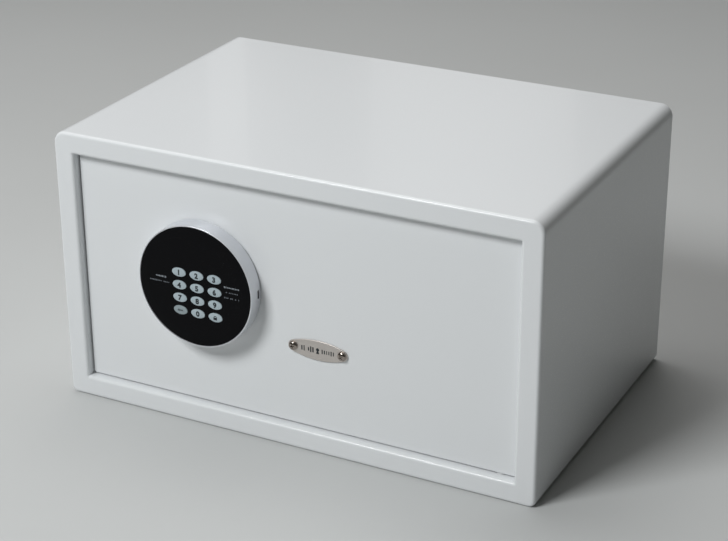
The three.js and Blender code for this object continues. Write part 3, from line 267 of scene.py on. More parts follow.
# %% [markdown]
# ## White lacquer
# The steel is coated in a white powder lacquer that is glossy but not a mirror.
# Close up it has a faint orange-peel ripple a few millimetres across, and the
# sheet under it is never quite flat. Both are relief, because a shiny surface
# shows them only through what it reflects. Tiny specks of dust dull it here
# and there.

# %% White lacquer
def make_lacquer():
    shades = (0.775, 0.795, 0.810), (0.800, 0.815, 0.825)
    dust = (0.45, 0.45, 0.43)
    peel_height, wave_height = 0.012 * MM, 0.22 * MM
    lacquer = Finish("white_lacquer", IOR=1.5, Specular_IOR_Level=0.3)
    peel = lacquer.grain(380, 1.0)
    sheet_wave = lacquer.grain(7, 1.0)
    cloud = lacquer.grain(3, 2.0)
    speck = lacquer.grain(1500, 0.0) > 0.76
    return lacquer.set(
        Base_Color=lacquer.blend(speck * 0.12, lacquer.blend(cloud, *shades), dust),
        Roughness=0.21 + cloud * 0.05 + speck * 0.2,
        Coat_Weight=0.16 - speck * 0.1,
        Normal=lacquer.relief(peel * peel_height + sheet_wave * wave_height),
    ).material


LACQUER = make_lacquer()
print("made", LACQUER.name)

# %% [markdown]
# ## Metals
# Five metals can be seen: zinc-plated steel inside, bright turned steel on the
# bolts and cover screws, nickel on the plate's screws, brushed steel on the oval
# plate, and the satin silver of the keypad's ring. The nickel's colour is painted
# dark and brown: a painted reflection of dark surroundings in its polished domes.
# Brass and sintered bronze are on parts of the lock. They differ in colour a
# little, but mostly in the direction of their fine marks. Noise that is stretched
# along one axis gives brushed marks, and cells give the spangle of zinc and the
# pores of bronze.

# %% Metals
def make_zinc():
    shades = (0.50, 0.51, 0.52), (0.66, 0.67, 0.68)
    haze_height = 0.02 * MM
    zinc = Finish("zinc_steel", Metallic=1.0)
    spangle = zinc.cells(160, output="Color")
    shade = zinc.node("ShaderNodeSeparateColor", None, {0: spangle})
    haze = zinc.grain(900, 3.0)
    stain = zinc.grain(40, 4.0)
    return zinc.set(
        Base_Color=zinc.blend(shade * 0.5 + stain * 0.4, *shades),
        Roughness=0.34 + shade * 0.08 + haze * 0.12,
        Normal=zinc.relief(haze * haze_height),
    ).material


def make_bright_steel():
    shades = (0.62, 0.60, 0.57), (0.78, 0.77, 0.75)
    mark_height = 0.004 * MM
    steel = Finish("bright_steel", Metallic=1.0)
    turned_marks = steel.grain(300, 3.0, (30, 1, 1))
    rub = steel.grain(60, 3.0)
    return steel.set(
        Base_Color=steel.blend(rub, *shades),
        Roughness=0.12 + rub * 0.12 + turned_marks * 0.06,
        Normal=steel.relief(turned_marks * mark_height),
    ).material


def make_nickel_painted_reflection():
    # Both shades are painted dark and brown: a painted reflection of dark surroundings in the
    # polished dome, not the nickel's own colour. The tarnish noise moves between them.
    shades = (0.24, 0.20, 0.17), (0.50, 0.45, 0.41)
    tarnish_height = 0.006 * MM
    nickel = Finish("dull_nickel", Metallic=1.0)
    tarnish = nickel.grain(700, 3.0)
    return nickel.set(
        Base_Color=nickel.blend(tarnish, *shades),
        Roughness=0.13 + tarnish * 0.12,
        Normal=nickel.relief(tarnish * tarnish_height),
    ).material


def make_brushed_steel():
    shades = (0.52, 0.48, 0.45), (0.74, 0.69, 0.65)
    brush_height = 0.01 * MM
    steel = Finish("brushed_plate", Metallic=0.9)
    brushed = steel.grain(45, 4.0, (1, 60, 60))
    mottle = steel.grain(220, 3.0)
    return steel.set(
        Base_Color=steel.blend(brushed * 0.6 + mottle * 0.4, *shades),
        Roughness=0.34 + brushed * 0.16,
        Normal=steel.relief(brushed * brush_height),
    ).material


def make_satin_silver():
    shades = (0.70, 0.72, 0.76), (0.82, 0.83, 0.86)
    mark_height, bloom_height = 0.006 * MM, 0.004 * MM
    silver = Finish("satin_silver", Metallic=0.6)
    lathe_marks = silver.grain(60, 2.0, (1, 90, 1))
    bloom = silver.grain(500, 2.0)
    return silver.set(
        Base_Color=silver.blend(lathe_marks, *shades),
        Roughness=0.30 + lathe_marks * 0.10 + bloom * 0.05,
        Normal=silver.relief(lathe_marks * mark_height + bloom * bloom_height),
    ).material


def make_copper_metal(name, dark, light, pores):
    pit_depth = 0.02 * MM
    metal = Finish(name, Metallic=1.0)
    tarnish = metal.grain(90, 4.0)
    pit = metal.cells(pores) < 0.16
    return metal.set(
        Base_Color=metal.blend(tarnish, dark, light),
        Roughness=0.28 + tarnish * 0.2 + pit * 0.2,
        Normal=metal.relief(0.0 - pit * pit_depth),
    ).material


ZINC = make_zinc()
BRIGHT_STEEL = make_bright_steel()
NICKEL_PAINTED_REFLECTION = make_nickel_painted_reflection()
BRUSHED_STEEL = make_brushed_steel()
SATIN_SILVER = make_satin_silver()
BRASS = make_copper_metal("brass", (0.50, 0.36, 0.14), (0.70, 0.53, 0.24), 1500)
BRONZE = make_copper_metal("sintered_bronze", (0.30, 0.17, 0.08), (0.50, 0.31, 0.15), 2600)
metals = (ZINC, BRIGHT_STEEL, NICKEL_PAINTED_REFLECTION, BRUSHED_STEEL, SATIN_SILVER, BRASS, BRONZE)
print("made", [metal.name for metal in metals])

# %% [markdown]
# ## Plastics and prints
# The keypad's face is polished black acrylic. Its keys are a dull blue-grey
# rubber-like plastic. Hidden parts are moulded in black plastic with a fine
# spark-eroded grain, and the hinge bushes in white nylon. Prints and inlays are
# flat inks with a little mottling.

# %% Plastics and prints
def make_black_acrylic():
    black, dust_colour = (0.002, 0.002, 0.0028), (0.12, 0.12, 0.12)
    smear_height = 0.01 * MM
    acrylic = Finish("black_acrylic", IOR=1.49, Specular_IOR_Level=0.08)
    smear = acrylic.grain(45, 3.0)
    dust = acrylic.grain(1900, 0.0) > 0.84
    return acrylic.set(
        Base_Color=acrylic.blend(dust * 0.2, black, dust_colour),
        Roughness=0.07 + smear * 0.07 + dust * 0.3,
        Normal=acrylic.relief(smear * smear_height),
    ).material


def make_moulded(name, dark, light, dullness, grit_scale, grit_height):
    plastic = Finish(name)
    grit = plastic.grain(grit_scale, 2.0)
    tone = plastic.grain(70, 3.0)
    return plastic.set(
        Base_Color=plastic.blend(tone * 0.7 + grit * 0.3, dark, light),
        Roughness=dullness + grit * 0.14,
        Normal=plastic.relief(grit * (grit_height * MM)),
    ).material


# name, darker and lighter shade, roughness, scale of the grit, its height in mm
MOULDED = [
    ("key_plastic", (0.37, 0.45, 0.49), (0.47, 0.55, 0.59), 0.30, 900, 0.010),
    ("key_plastic_faded", (0.25, 0.31, 0.33), (0.33, 0.39, 0.41), 0.36, 900, 0.010),
    ("black_plastic", (0.010, 0.010, 0.011), (0.024, 0.024, 0.026), 0.42, 1700, 0.05),
    ("lead_sleeve", (0.07, 0.075, 0.08), (0.12, 0.125, 0.13), 0.45, 1400, 0.02),
    ("white_nylon", (0.66, 0.67, 0.67), (0.74, 0.75, 0.75), 0.40, 1200, 0.01),
    ("dark_ink", (0.004, 0.008, 0.012), (0.012, 0.020, 0.026), 0.45, 2500, 0.004),
    ("grey_ink", (0.05, 0.065, 0.075), (0.09, 0.11, 0.12), 0.5, 2500, 0.004),
    ("pale_ink", (0.20, 0.23, 0.26), (0.34, 0.37, 0.40), 0.5, 2500, 0.004),
    ("dim_ink", (0.09, 0.10, 0.12), (0.17, 0.19, 0.21), 0.5, 2500, 0.004),
]
BLACK_ACRYLIC = make_black_acrylic()
KEY_PLASTIC, FADED_KEY, BLACK_PLASTIC, LEAD_SLEEVE, WHITE_NYLON, *inks = [
    make_moulded(*values) for values in MOULDED
]
DARK_INK, GREY_INK, PALE_INK, DIM_INK = inks
print("made", BLACK_ACRYLIC.name, "and", [values[0] for values in MOULDED])

# %% [markdown]
# ## Electronics and batteries
# A circuit board is green resist over copper. The copper shows as straight
# tracks a shade lighter than the rest, and bare tinned pads shine through in
# places. Brick patterns give straight tracks at right angles. A battery has a
# printed sleeve with a copper-coloured band at one end.

# %% Electronics and batteries
def make_circuit_board():
    track_height, pad_height = 0.03 * MM, 0.04 * MM
    tin = (0.62, 0.60, 0.56)
    board = Finish("circuit_board")
    flat = board.node("ShaderNodeMapping", None, {
        "Vector": board.place, "Rotation": (math.radians(90), 0, 0),
    })
    tracks = board.node("ShaderNodeTexBrick", {"offset": 0.37, "squash": 1.0}, {
        "Vector": flat, "Scale": 150, "Mortar Size": 0.10, "Mortar Smooth": 0.0,
        "Brick Width": 1.4, "Row Height": 0.35,
    }, "Fac")
    pad = board.cells(420) < 0.20
    resist = board.blend(tracks, (0.010, 0.085, 0.040), (0.025, 0.16, 0.075))
    return board.set(
        Base_Color=board.blend(pad, resist, tin),
        Metallic=pad * 0.9,
        Roughness=0.32 + board.grain(300) * 0.14,
        Normal=board.relief(tracks * track_height + pad * pad_height),
    ).material


def make_cell_sleeve():
    black, copper = (0.030, 0.034, 0.042), (0.56, 0.33, 0.17)
    band_from, scuff_height = 0.68, 0.01 * MM
    sleeve = Finish("battery_sleeve")
    height = sleeve.node("ShaderNodeSeparateXYZ", None, {0: sleeve.place}, "Z")
    low, high = (corner.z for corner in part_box("battery_cell_1"))
    band = height > low + (high - low) * band_from
    scuff = sleeve.grain(400, 3.0)
    return sleeve.set(
        Base_Color=sleeve.blend(band, black, copper),
        Metallic=band * 0.8,
        Roughness=0.22 + scuff * 0.16,
        Normal=sleeve.relief(scuff * scuff_height),
    ).material


CIRCUIT_BOARD = make_circuit_board()
CELL_SLEEVE = make_cell_sleeve()
print("made", CIRCUIT_BOARD.name, "and", CELL_SLEEVE.name)

# %% [markdown]
# ## Carpet
# The mat inside is a needle-felt carpet: a charcoal mix of darker and lighter
# fibres with no gloss. Its lumps are real geometry, made below, and the finish
# adds only the fibres, which are finer than any mesh should be.

# %% Carpet
def make_carpet():
    shades = (0.012, 0.013, 0.015), (0.060, 0.064, 0.072)
    lint_colour = (0.16, 0.165, 0.18)
    fibre_height = 0.6 * MM
    carpet = Finish("needle_felt", Roughness=0.95, Sheen_Weight=0.25, Sheen_Roughness=0.6)
    fibre = carpet.grain(1100, 4.0)
    lint = carpet.grain(2400, 1.0) > 0.64
    return carpet.set(
        Base_Color=carpet.blend(lint * 0.5, carpet.blend(fibre, *shades), lint_colour),
        Normal=carpet.relief(fibre * fibre_height),
    ).material


CARPET = make_carpet()
print("made", CARPET.name)

# %% [markdown]
# ## Floor
# The safe stands on a plain pale floor. It is a large disc with a soft paper
# grain.

# %% Floor
FLOOR_RADIUS = 9.0
FLOOR_SIDES = 96
FLOOR_DROP = 0.2 * MM
FLOOR_SHADES = (0.55, 0.56, 0.555), (0.59, 0.60, 0.595)

paper = Finish("pale_floor", Roughness=0.75)
paper.set(Base_Color=paper.blend(paper.grain(2.5, 4.0), *FLOOR_SHADES))

shape = bmesh.new()
bmesh.ops.create_circle(shape, cap_ends=True, segments=FLOOR_SIDES, radius=FLOOR_RADIUS)
bmesh.ops.translate(shape, verts=shape.verts, vec=(0, 0, -FLOOR_DROP))
floor_mesh = bpy.data.meshes.new("floor")
shape.to_mesh(floor_mesh)
shape.free()
floor_mesh.materials.append(paper.material)
linked("floor", floor_mesh)
print("floor radius", FLOOR_RADIUS, "m")

# %% [markdown]
# ## Rounded outlines
# Nearly every piece here is a run of outlines: a folded box, a turned ring and
# an oval key are all rings of points joined by faces. One function rounds the
# corners of an outline. It also adds a point just past each rounding, which
# keeps the flat faces flat under smooth shading. Another joins the rings.

# %% Outlines and lofts
HOLD = 0.25  # the point past a rounding, as a share of its radius


def eased(corners, steps=5):
    """The line through corners (u, v, radius), each rounded to its radius."""
    line = []
    for index, (u, v, radius) in enumerate(corners):
        here = Vector((u, v))
        if radius == 0:
            line.append((u, v))
            continue
        back = (Vector(corners[index - 1][:2]) - here).normalized()
        on = (Vector(corners[(index + 1) % len(corners)][:2]) - here).normalized()
        half = back.angle(on) / 2
        reach = radius / math.tan(half)
        centre = here + (back + on).normalized() * (radius / math.sin(half))
        first = here + back * reach - centre
        last = here + on * reach - centre
        sweep = first.angle(last)
        line.append(tuple(here + back * (reach + HOLD * radius)))
        for step in range(steps + 1):
            share = step / steps
            spoke = first * math.sin((1 - share) * sweep) + last * math.sin(share * sweep)
            line.append(tuple(centre + spoke / math.sin(sweep)))
        line.append(tuple(here + on * (reach + HOLD * radius)))
    return line


def rectangle(x0, x1, z0, z1, low, high=None):
    """Corners for eased. Low and high round the lower and upper two, alike if high is left out."""
    high = low if high is None else high
    return [(x0, z0, low), (x1, z0, low), (x1, z1, high), (x0, z1, high)]


def upright(outline, y):
    """An outline drawn in X and Z, stood up at y."""
    return [(x, y, z) for x, z in outline]


def loft(rings, start=False, end=False, closed=False):
    """Faces between rings. Rings run anticlockwise seen from the front, and go back."""
    shape = bmesh.new()
    rows = [[shape.verts.new(point) for point in ring] for ring in rings]
    pairs = list(zip(rows, rows[1:]))
    if closed:
        pairs.append((rows[-1], rows[0]))
    for near, far in pairs:
        for index in range(len(near)):
            after = (index + 1) % len(near)
            shape.faces.new((near[index], far[index], far[after], near[after]))
    if start:
        shape.faces.new(rows[0])
    if end:
        shape.faces.new(reversed(rows[-1]))
    return shape


def turned(profile, segments, centre=(0, 0, 0), closed=True, start=False, end=False):
    """A profile of (radius, y) turned about a line along Y through centre."""
    rings = []
    for radius, y in profile:
        ring = []
        for index in range(segments):
            angle = 2 * math.pi * index / segments
            ring.append((
                centre[0] + radius * math.cos(angle),
                centre[1] + y,
                centre[2] + radius * math.sin(angle),
            ))
        rings.append(ring)
    return loft(rings, start, end, closed)


print("a rounded corner has", len(eased([(0, 0, 0), (1, 0, 0.2), (1, 1, 0)])) - 2, "points")

# %% [markdown]
# ## From a shape to a finished piece
# A finished piece gets its mesh, its modifiers' result, one material, and the
# facts that tie it to the frame: the body that carries it and the CAD nodes it
# stands for. Holes are cut with a Boolean modifier and then made part of the mesh.

# %% Pieces
SMOOTH_BELOW = math.radians(32)
made_pieces = {}


def new_object(name, shape):
    mesh = bpy.data.meshes.new(name)
    shape.to_mesh(mesh)
    shape.free()
    return linked(name, mesh)


def result_of(thing):
    """A new mesh: what the object's modifiers, or its text, make."""
    bpy.context.view_layer.update()
    shown = thing.evaluated_get(bpy.context.evaluated_depsgraph_get())
    return bpy.data.meshes.new_from_object(shown)


def settle(thing):
    """Makes the modifiers' result the object's own mesh."""
    mesh = result_of(thing)
    thing.modifiers.clear()
    thing.data = mesh
    mesh.name = thing.name
    return thing


def thicken(thing, thickness):
    wall = thing.modifiers.new("sheet", "SOLIDIFY")
    wall.thickness = thickness
    wall.offset = -1
    wall.use_even_offset = True
    return settle(thing)


def combine(thing, operation, shapes):
    """Takes closed shapes away from the object, or welds them to it, one by one."""
    for shape in shapes:
        tool = new_object("tool", shape)
        step = thing.modifiers.new("step", "BOOLEAN")
        step.operation = operation
        step.solver = "EXACT"
        step.object = tool
        settle(thing)
        bpy.data.objects.remove(tool)
    return thing


def cut(thing, *shapes):
    return combine(thing, "DIFFERENCE", shapes)


def smooth(mesh):
    mesh.shade_smooth()
    mesh.set_sharp_from_angle(angle=SMOOTH_BELOW)


def piece(thing, body, material, stands_for=()):
    mesh = thing.data
    mesh.materials.clear()
    mesh.materials.append(material)
    mesh.polygons.foreach_set("material_index", [0] * len(mesh.polygons))
    smooth(mesh)
    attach(thing, body)
    if stands_for:
        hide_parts(*stands_for)
    made_pieces[thing.name] = sum(len(polygon.vertices) - 2 for polygon in mesh.polygons)
    return thing


def middle_in(node, axes):
    """The middle of a node's box, in these of its axes: 0 is X, 1 is Y, 2 is Z."""
    low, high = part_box(node)
    return tuple((low[axis] + high[axis]) / 2 for axis in axes)


def rod(axis, radius, start, end, place, segments=48):
    """A closed round cutter along X, Y or Z. Place is its other two coordinates."""
    shape = turned([(radius, start), (radius, end)], segments, closed=False, start=True, end=True)
    if axis == "X":
        turn = Matrix.Rotation(-math.pi / 2, 4, "Z")
        move = Matrix.Translation((0, place[0], place[1]))
    elif axis == "Z":
        turn = Matrix.Rotation(math.pi / 2, 4, "X")
        move = Matrix.Translation((place[0], place[1], 0))
    else:
        turn = Matrix.Identity(4)
        move = Matrix.Translation((place[0], 0, place[1]))
    shape.transform(move @ turn)
    return shape


def prism(outline, front, back):
    """A closed slab whose outline is drawn in X and Z."""
    return loft([upright(outline, y) for y in (front, back)], start=True, end=True)


print("piece helpers ready")

# %% [markdown]
# ## The cabinet
# The cabinet is folded from 2 mm sheet. Its front is a channel: the face turns
# back beside the door on one side and along the outside on the other, and the
# welds are ground and painted over, so no seam shows. A swept section suits
# this: the section is drawn once, from the return, over the face, to the back,
# and every point of it becomes one rounded outline around the safe. Solidify
# then gives the sheet its thickness.

# %% Cabinet sizes
SHEET = 2 * MM
BORDER = 19 * MM
RETURN = 20 * MM
FRONT_BEND = 2.8 * MM
TOP_ROUND = 11 * MM
BOTTOM_ROUND = 6 * MM
CREASE = 0.3 * MM
ANCHOR_RADIUS = 6 * MM
ANCHOR_X = 110 * MM
BASE_ANCHOR_Y = 60 * MM
ANCHOR_XS = (-ANCHOR_X, ANCHOR_X)
BUSH_HOLE = 4.9 * MM

frame_low, frame_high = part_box("front_frame")
front, rear = frame_low.y, cad_high.y
half_width, height = frame_high.x, frame_high.z
middle = height / 2
opening_half = half_width - BORDER
print("opening in mm:", round(2 * opening_half / MM, 1), "by", round((height - 2 * BORDER) / MM, 1))

# %% Cabinet
def corner_radius(outward, outer):
    """The outline's corner radius, from a crease at the opening to the outer rounding."""
    if outward <= FRONT_BEND:
        return CREASE + outward
    if outward >= BORDER - FRONT_BEND:
        return outer - (BORDER - outward)
    share = (outward - FRONT_BEND) / (BORDER - 2 * FRONT_BEND)
    return (1 - share) * (CREASE + FRONT_BEND) + share * (outer - FRONT_BEND)


def cabinet_ring(outward, y):
    """The outline that lies this far outward from the door opening."""
    side, low, high = opening_half + outward, BORDER - outward, height - BORDER + outward
    bottom, top = corner_radius(outward, BOTTOM_ROUND), corner_radius(outward, TOP_ROUND)
    return upright(eased(rectangle(-side, side, low, high, bottom, top), steps=10), y)


section = eased([
    (0, front + RETURN, 0), (0, front, FRONT_BEND), (BORDER, front, FRONT_BEND), (BORDER, rear, 0),
], steps=7)
cabinet = new_object("painted_cabinet", loft([cabinet_ring(*point) for point in section]))
thicken(cabinet, SHEET)

bush_low, bush_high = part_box("hinge_bush_upper")
hinge = ((bush_low + bush_high) / 2).to_2d()
cut(
    cabinet,
    *[rod("Z", ANCHOR_RADIUS, -SHEET, 2 * SHEET, (x, BASE_ANCHOR_Y)) for x in ANCHOR_XS],
    rod("Z", BUSH_HOLE, 2 * SHEET, height - 2 * SHEET, hinge),
)
piece(cabinet, "cabinet", LACQUER, ("cabinet_wrap", "base_pan", "front_frame"))
print("painted_cabinet:", made_pieces["painted_cabinet"], "triangles")

# %% [markdown]
# ## The rear panel
# The back is one flat sheet let into the cabinet, with two holes for wall
# anchors. A real one is welded in and painted with the rest, so the joint is a
# fine groove. It is a slab with a small rounding at its edge.

# %% Rear panel
PANEL_GAP = 0.05 * MM
PANEL_EDGE = 0.5 * MM


def rounded_slab(x0, x1, z0, z1, low, high, y0, y1, edge, steps=8):
    """A slab with rounded corners, and the same small rounding on both faces."""
    rings = []
    side = [(3 * edge, y0, 0), (0, y0, edge), (0, y1, edge), (3 * edge, y1, 0)]
    for inset, y in eased(side, steps=4):
        rings.append(upright(eased(rectangle(
            x0 + inset, x1 - inset, z0 + inset, z1 - inset, low - inset, high - inset,
        ), steps), y))
    return loft(rings, start=True, end=True)


inset = SHEET + PANEL_GAP
rear_panel = new_object("rear_sheet", rounded_slab(
    -half_width + inset, half_width - inset, inset, height - inset,
    BOTTOM_ROUND - SHEET, TOP_ROUND - SHEET, rear - SHEET, rear, PANEL_EDGE,
))
cut(rear_panel, *[
    rod("Y", ANCHOR_RADIUS, rear - 3 * SHEET, rear + SHEET, (x, middle)) for x in ANCHOR_XS
])
piece(rear_panel, "cabinet", LACQUER, ("rear_panel",))
print("rear_sheet:", made_pieces["rear_sheet"], "triangles")

# %% [markdown]
# ## The door
# The door is a 5 mm plate with its edges broken by a file and then painted. It
# carries holes for the keypad's tube, for the key cylinder and for two screws,
# and a groove at each hinge corner for the pin.

# %% Door
DOOR_EDGE = 0.7 * MM
DOOR_CORNER = 2.2 * MM
TUBE_HOLE = 11.3 * MM
CYLINDER_HOLE = 8.3 * MM
SCREW_HOLE = 1.8 * MM
HOLE_SIDES = 24
PLATE_SCREWS_APART = 46 * MM
PIN_GROOVE = 3.8 * MM
PIN_REACH = 26.3 * MM

door_low, door_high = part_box("door_plate")
ring_low, ring_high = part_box("keypad_ring")
dial = (ring_low + ring_high) / 2
badge_low, badge_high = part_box("badge_plate")
badge = (badge_low + badge_high) / 2
plate_screw_xs = [badge.x + side * PLATE_SCREWS_APART / 2 for side in (-1, 1)]

door = new_object("door_leaf", rounded_slab(
    door_low.x, door_high.x, door_low.z, door_high.z, DOOR_CORNER, DOOR_CORNER,
    door_low.y, door_high.y, DOOR_EDGE,
))
through = (door_low.y - SHEET, door_high.y + SHEET)
cut(
    door,
    rod("Y", TUBE_HOLE, *through, (dial.x, dial.z)),
    rod("Y", CYLINDER_HOLE, *through, (badge.x, badge.z)),
    *[rod("Y", SCREW_HOLE, *through, (x, badge.z), HOLE_SIDES) for x in plate_screw_xs],
    rod("Z", PIN_GROOVE, door_high.z - PIN_REACH, door_high.z + SHEET, hinge),
    rod("Z", PIN_GROOVE, door_low.z - SHEET, door_low.z + PIN_REACH, hinge),
)
piece(door, "door", LACQUER, ("door_plate",))
print("door_leaf:", made_pieces["door_leaf"], "triangles")

# %% [markdown]
# ## The keypad's ring
# The keypad is a short round housing. Its wall is a turned ring with a narrow
# bright rim around the black face, and a small step at its foot, which leaves
# a shadow line against the door. It could be a cylinder with modifiers, but a
# turned profile with rounded corners gives every highlight in one go. A slot
# for a data plug is cut in its right side.

# %% Keypad ring
RING_SIDES = 160
RING_WALL = 2.8 * MM
RIM = 0.9 * MM
FOOT_STEP = 0.7 * MM
FOOT_HEIGHT = 1.3 * MM
FACE_DROP = 0.2 * MM
FACE_SHEET = 2 * MM
WELD_GAP = 0.3 * MM
PORT_UP = 4.7 * MM
PORT_HALF = (3.9 * MM, 1.5 * MM)
PORT_ROUND = 0.8 * MM

ring_radius = (ring_high.x - ring_low.x) / 2
proud = door_low.y - ring_low.y
keypad_centre = (dial.x, door_low.y, dial.z)
face_front = -proud + FACE_DROP
shoulder = face_front + FACE_SHEET + WELD_GAP

# Each corner: its radius from the middle, its y, and its rounding.
ring_profile = eased([
    (ring_radius, -proud, 0.42 * MM),
    (ring_radius, -FOOT_HEIGHT, 0.25 * MM),
    (ring_radius - FOOT_STEP, -FOOT_HEIGHT, 0.15 * MM),
    (ring_radius - FOOT_STEP, -WELD_GAP, 0.1 * MM),
    (ring_radius - RING_WALL, -WELD_GAP, 0.2 * MM),
    (ring_radius - RING_WALL, shoulder, 0.2 * MM),
    (ring_radius - RIM, shoulder, 0.1 * MM),
    (ring_radius - RIM, -proud, 0.12 * MM),
], steps=4)
ring = new_object("keypad_housing", turned(ring_profile, RING_SIDES, keypad_centre))
port = prism(
    eased(rectangle(-PORT_HALF[1], PORT_HALF[1], -PORT_HALF[0], PORT_HALF[0], PORT_ROUND)),
    ring_radius - 2 * RING_WALL, ring_radius + RING_WALL,
)
port_place = Matrix.Translation((dial.x, door_low.y - PORT_UP, dial.z))
port.transform(port_place @ Matrix.Rotation(-math.pi / 2, 4, "Z"))
cut(ring, port)
piece(ring, "door", SATIN_SILVER, ("keypad_ring",))
print("keypad_housing:", made_pieces["keypad_housing"], "triangles")

# %% [markdown]
# ## The black face
# The face is a disc of black acrylic with a polished, very slightly falling
# margin. Twelve oval holes with softened edges let the keys through. Their
# places come from the keys' own boxes in the CAD frame.

# %% Black face
KEY_HALF = (6.75 * MM, 4.05 * MM)
KEY_FIT = 0.3 * MM
KEY_STEPS = 40
HOLE_EASE = 0.3 * MM
FACE_FLAT = 47 * MM
FACE_FALL = 0.3 * MM
FACE_EASE = 5 * MM

key_nodes = sorted(name for name in frame["nodes"] if name.startswith("key_"))
key_centres = {name: (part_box(name)[0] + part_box(name)[1]) / 2 for name in key_nodes}


def oval(grow, y, centre):
    ring = []
    for index in range(KEY_STEPS):
        angle = 2 * math.pi * index / KEY_STEPS
        ring.append((
            centre.x + (KEY_HALF[0] + grow) * math.cos(angle), y,
            centre.z + (KEY_HALF[1] + grow) * math.sin(angle),
        ))
    return ring


face_radius = ring_radius - RIM - WELD_GAP
face_y = door_low.y + face_front
face_profile = eased([
    (face_radius * 0.5, face_front, 0), (FACE_FLAT, face_front, FACE_EASE),
    (face_radius, face_front + FACE_FALL, 0.25 * MM),
    (face_radius, face_front + FACE_SHEET, 0.2 * MM),
    (face_radius * 0.9, face_front + FACE_SHEET, 0),
], steps=4)
face = new_object("keypad_face", turned(
    face_profile, RING_SIDES, keypad_centre, closed=False, start=True, end=True,
))
for centre in key_centres.values():
    cut(face, loft([
        oval(KEY_FIT + 2 * HOLE_EASE, face_y - HOLE_EASE, centre),
        oval(KEY_FIT, face_y + HOLE_EASE, centre),
        oval(KEY_FIT, face_y + 2 * FACE_SHEET, centre),
    ], start=True, end=True))
piece(face, "door", BLACK_ACRYLIC, ("keypad_fascia",))
print("keypad_face:", made_pieces["keypad_face"], "triangles,", len(key_nodes), "keys")

# %% [markdown]
# ## The keys
# Each key is an oval cap with a slight crown. Behind the face it widens into a
# skirt, so it can't fall out. Every key moves on its own, so each is a piece of
# its own that rides on its button's body. The left key of the last row is
# duller than the others.

# %% Keys
CROWN = 0.28 * MM
CAP_EDGE = 0.35 * MM
CROWN_PROUD = 0.42 * MM
SKIRT = 0.7 * MM
SKIRT_SHEET = 0.8 * MM
CROWN_STEPS = 5

crown_y = face_y - CROWN_PROUD
skirt_front = face_y + FACE_SHEET + WELD_GAP


def key_cap(centre):
    rings = []
    for step in range(1, CROWN_STEPS + 1):
        share = step / CROWN_STEPS
        inward = (1 - share) * (KEY_HALF[1] - CAP_EDGE) + CAP_EDGE
        rings.append(oval(-inward, crown_y + CROWN * share ** 2, centre))
    side = eased([
        (-CAP_EDGE, crown_y + CROWN, 0),
        (0, crown_y + CROWN * 1.3, 0.2 * MM),
        (0, skirt_front, 0.1 * MM),
        (SKIRT, skirt_front, 0.15 * MM),
        (SKIRT, skirt_front + SKIRT_SHEET, 0.15 * MM),
        (-KEY_HALF[1] / 2, skirt_front + SKIRT_SHEET, 0),
    ], steps=3)
    rings += [oval(grow, y, centre) for grow, y in side[1:]]
    return loft(rings, start=True, end=True)


for name, centre in key_centres.items():
    label = name[len("key_"):]
    cap = new_object("cap_" + label, key_cap(centre))
    plastic = FADED_KEY if label == "clear" else KEY_PLASTIC
    piece(cap, "button_" + label, plastic, (name,))
print("made", sum(name.startswith("cap_") for name in made_pieces), "key caps")

# %% [markdown]
# ## Marks on the keys
# Ten keys carry a digit. The other two carry plain signs: an arrow that goes
# back clears an entry, and a padlock locks the door. Digits are text objects
# that become thin solid meshes, and the signs are flat outlines with a
# thickness. A bevel makes the strokes of a digit bolder, and the mesh is then
# pressed flat. All of them sit a hair proud of the crown and move with their keys.

# %% Key marks
DIGIT_SIZE = 6.4 * MM
MARK_DEPTH = 0.12 * MM
MARK_PROUD = MARK_DEPTH / 2
STROKE_GROWTH = 0.32 * MM
TEXT_CORE = MARK_DEPTH / 10


def mark_shape(outlines, centre, surface):
    """Thin closed slabs, drawn in millimetres from the key's centre."""
    rows = bmesh.new()
    for outline in outlines:
        points = [(centre.x + x * MM, centre.z + z * MM) for x, z in outline]
        slab = prism(points, surface - MARK_PROUD, surface - MARK_PROUD + MARK_DEPTH)
        mesh = bpy.data.meshes.new("slab")
        slab.to_mesh(mesh)
        slab.free()
        rows.from_mesh(mesh)
        bpy.data.meshes.remove(mesh)
    return rows


def arc(x, z, radius, first, last, steps=12):
    turns = [math.radians(first + (last - first) * step / steps) for step in range(steps + 1)]
    return [(x + radius * math.cos(turn), z + radius * math.sin(turn)) for turn in turns]


def upright_text(holder):
    """The text as a mesh that stands upright and faces the front."""
    mesh = result_of(holder)
    mesh.transform(Matrix.Rotation(math.pi / 2, 4, "X"))
    bpy.data.objects.remove(holder)
    return mesh


def digit(name, text, centre):
    words = bpy.data.curves.new(name, "FONT")
    words.body = text
    words.size = DIGIT_SIZE
    words.align_x, words.align_y = "CENTER", "CENTER"
    words.extrude = TEXT_CORE
    words.bevel_depth = STROKE_GROWTH
    words.bevel_resolution = 2
    mesh = upright_text(linked(name, words))
    low = min(v.co.z for v in mesh.vertices)
    high = max(v.co.z for v in mesh.vertices)
    flat = MARK_DEPTH / (2 * max(v.co.y for v in mesh.vertices))
    place = Vector((centre.x, crown_y - MARK_PROUD + MARK_DEPTH / 2, centre.z - (low + high) / 2))
    mesh.transform(Matrix.Translation(place) @ Matrix.Diagonal((1, flat, 1, 1)))
    return linked(name, mesh)


# Outlines in mm from the key's centre
ARROW = [
    (-2.9, 0.0), (-1.1, -1.5), (-1.1, -0.55), (2.7, -0.55), (2.7, 0.55), (-1.1, 0.55), (-1.1, 1.5),
]
LOCK_BODY = [(-1.7, -2.0), (1.7, -2.0), (1.7, 0.25), (-1.7, 0.25)]
SHACKLE = (
    arc(0, 0.4, 1.35, 0, 180) + [(-1.35, 0.2), (-0.85, 0.2)]
    + arc(0, 0.4, 0.85, 180, 0) + [(0.85, 0.2), (1.35, 0.2)]
)

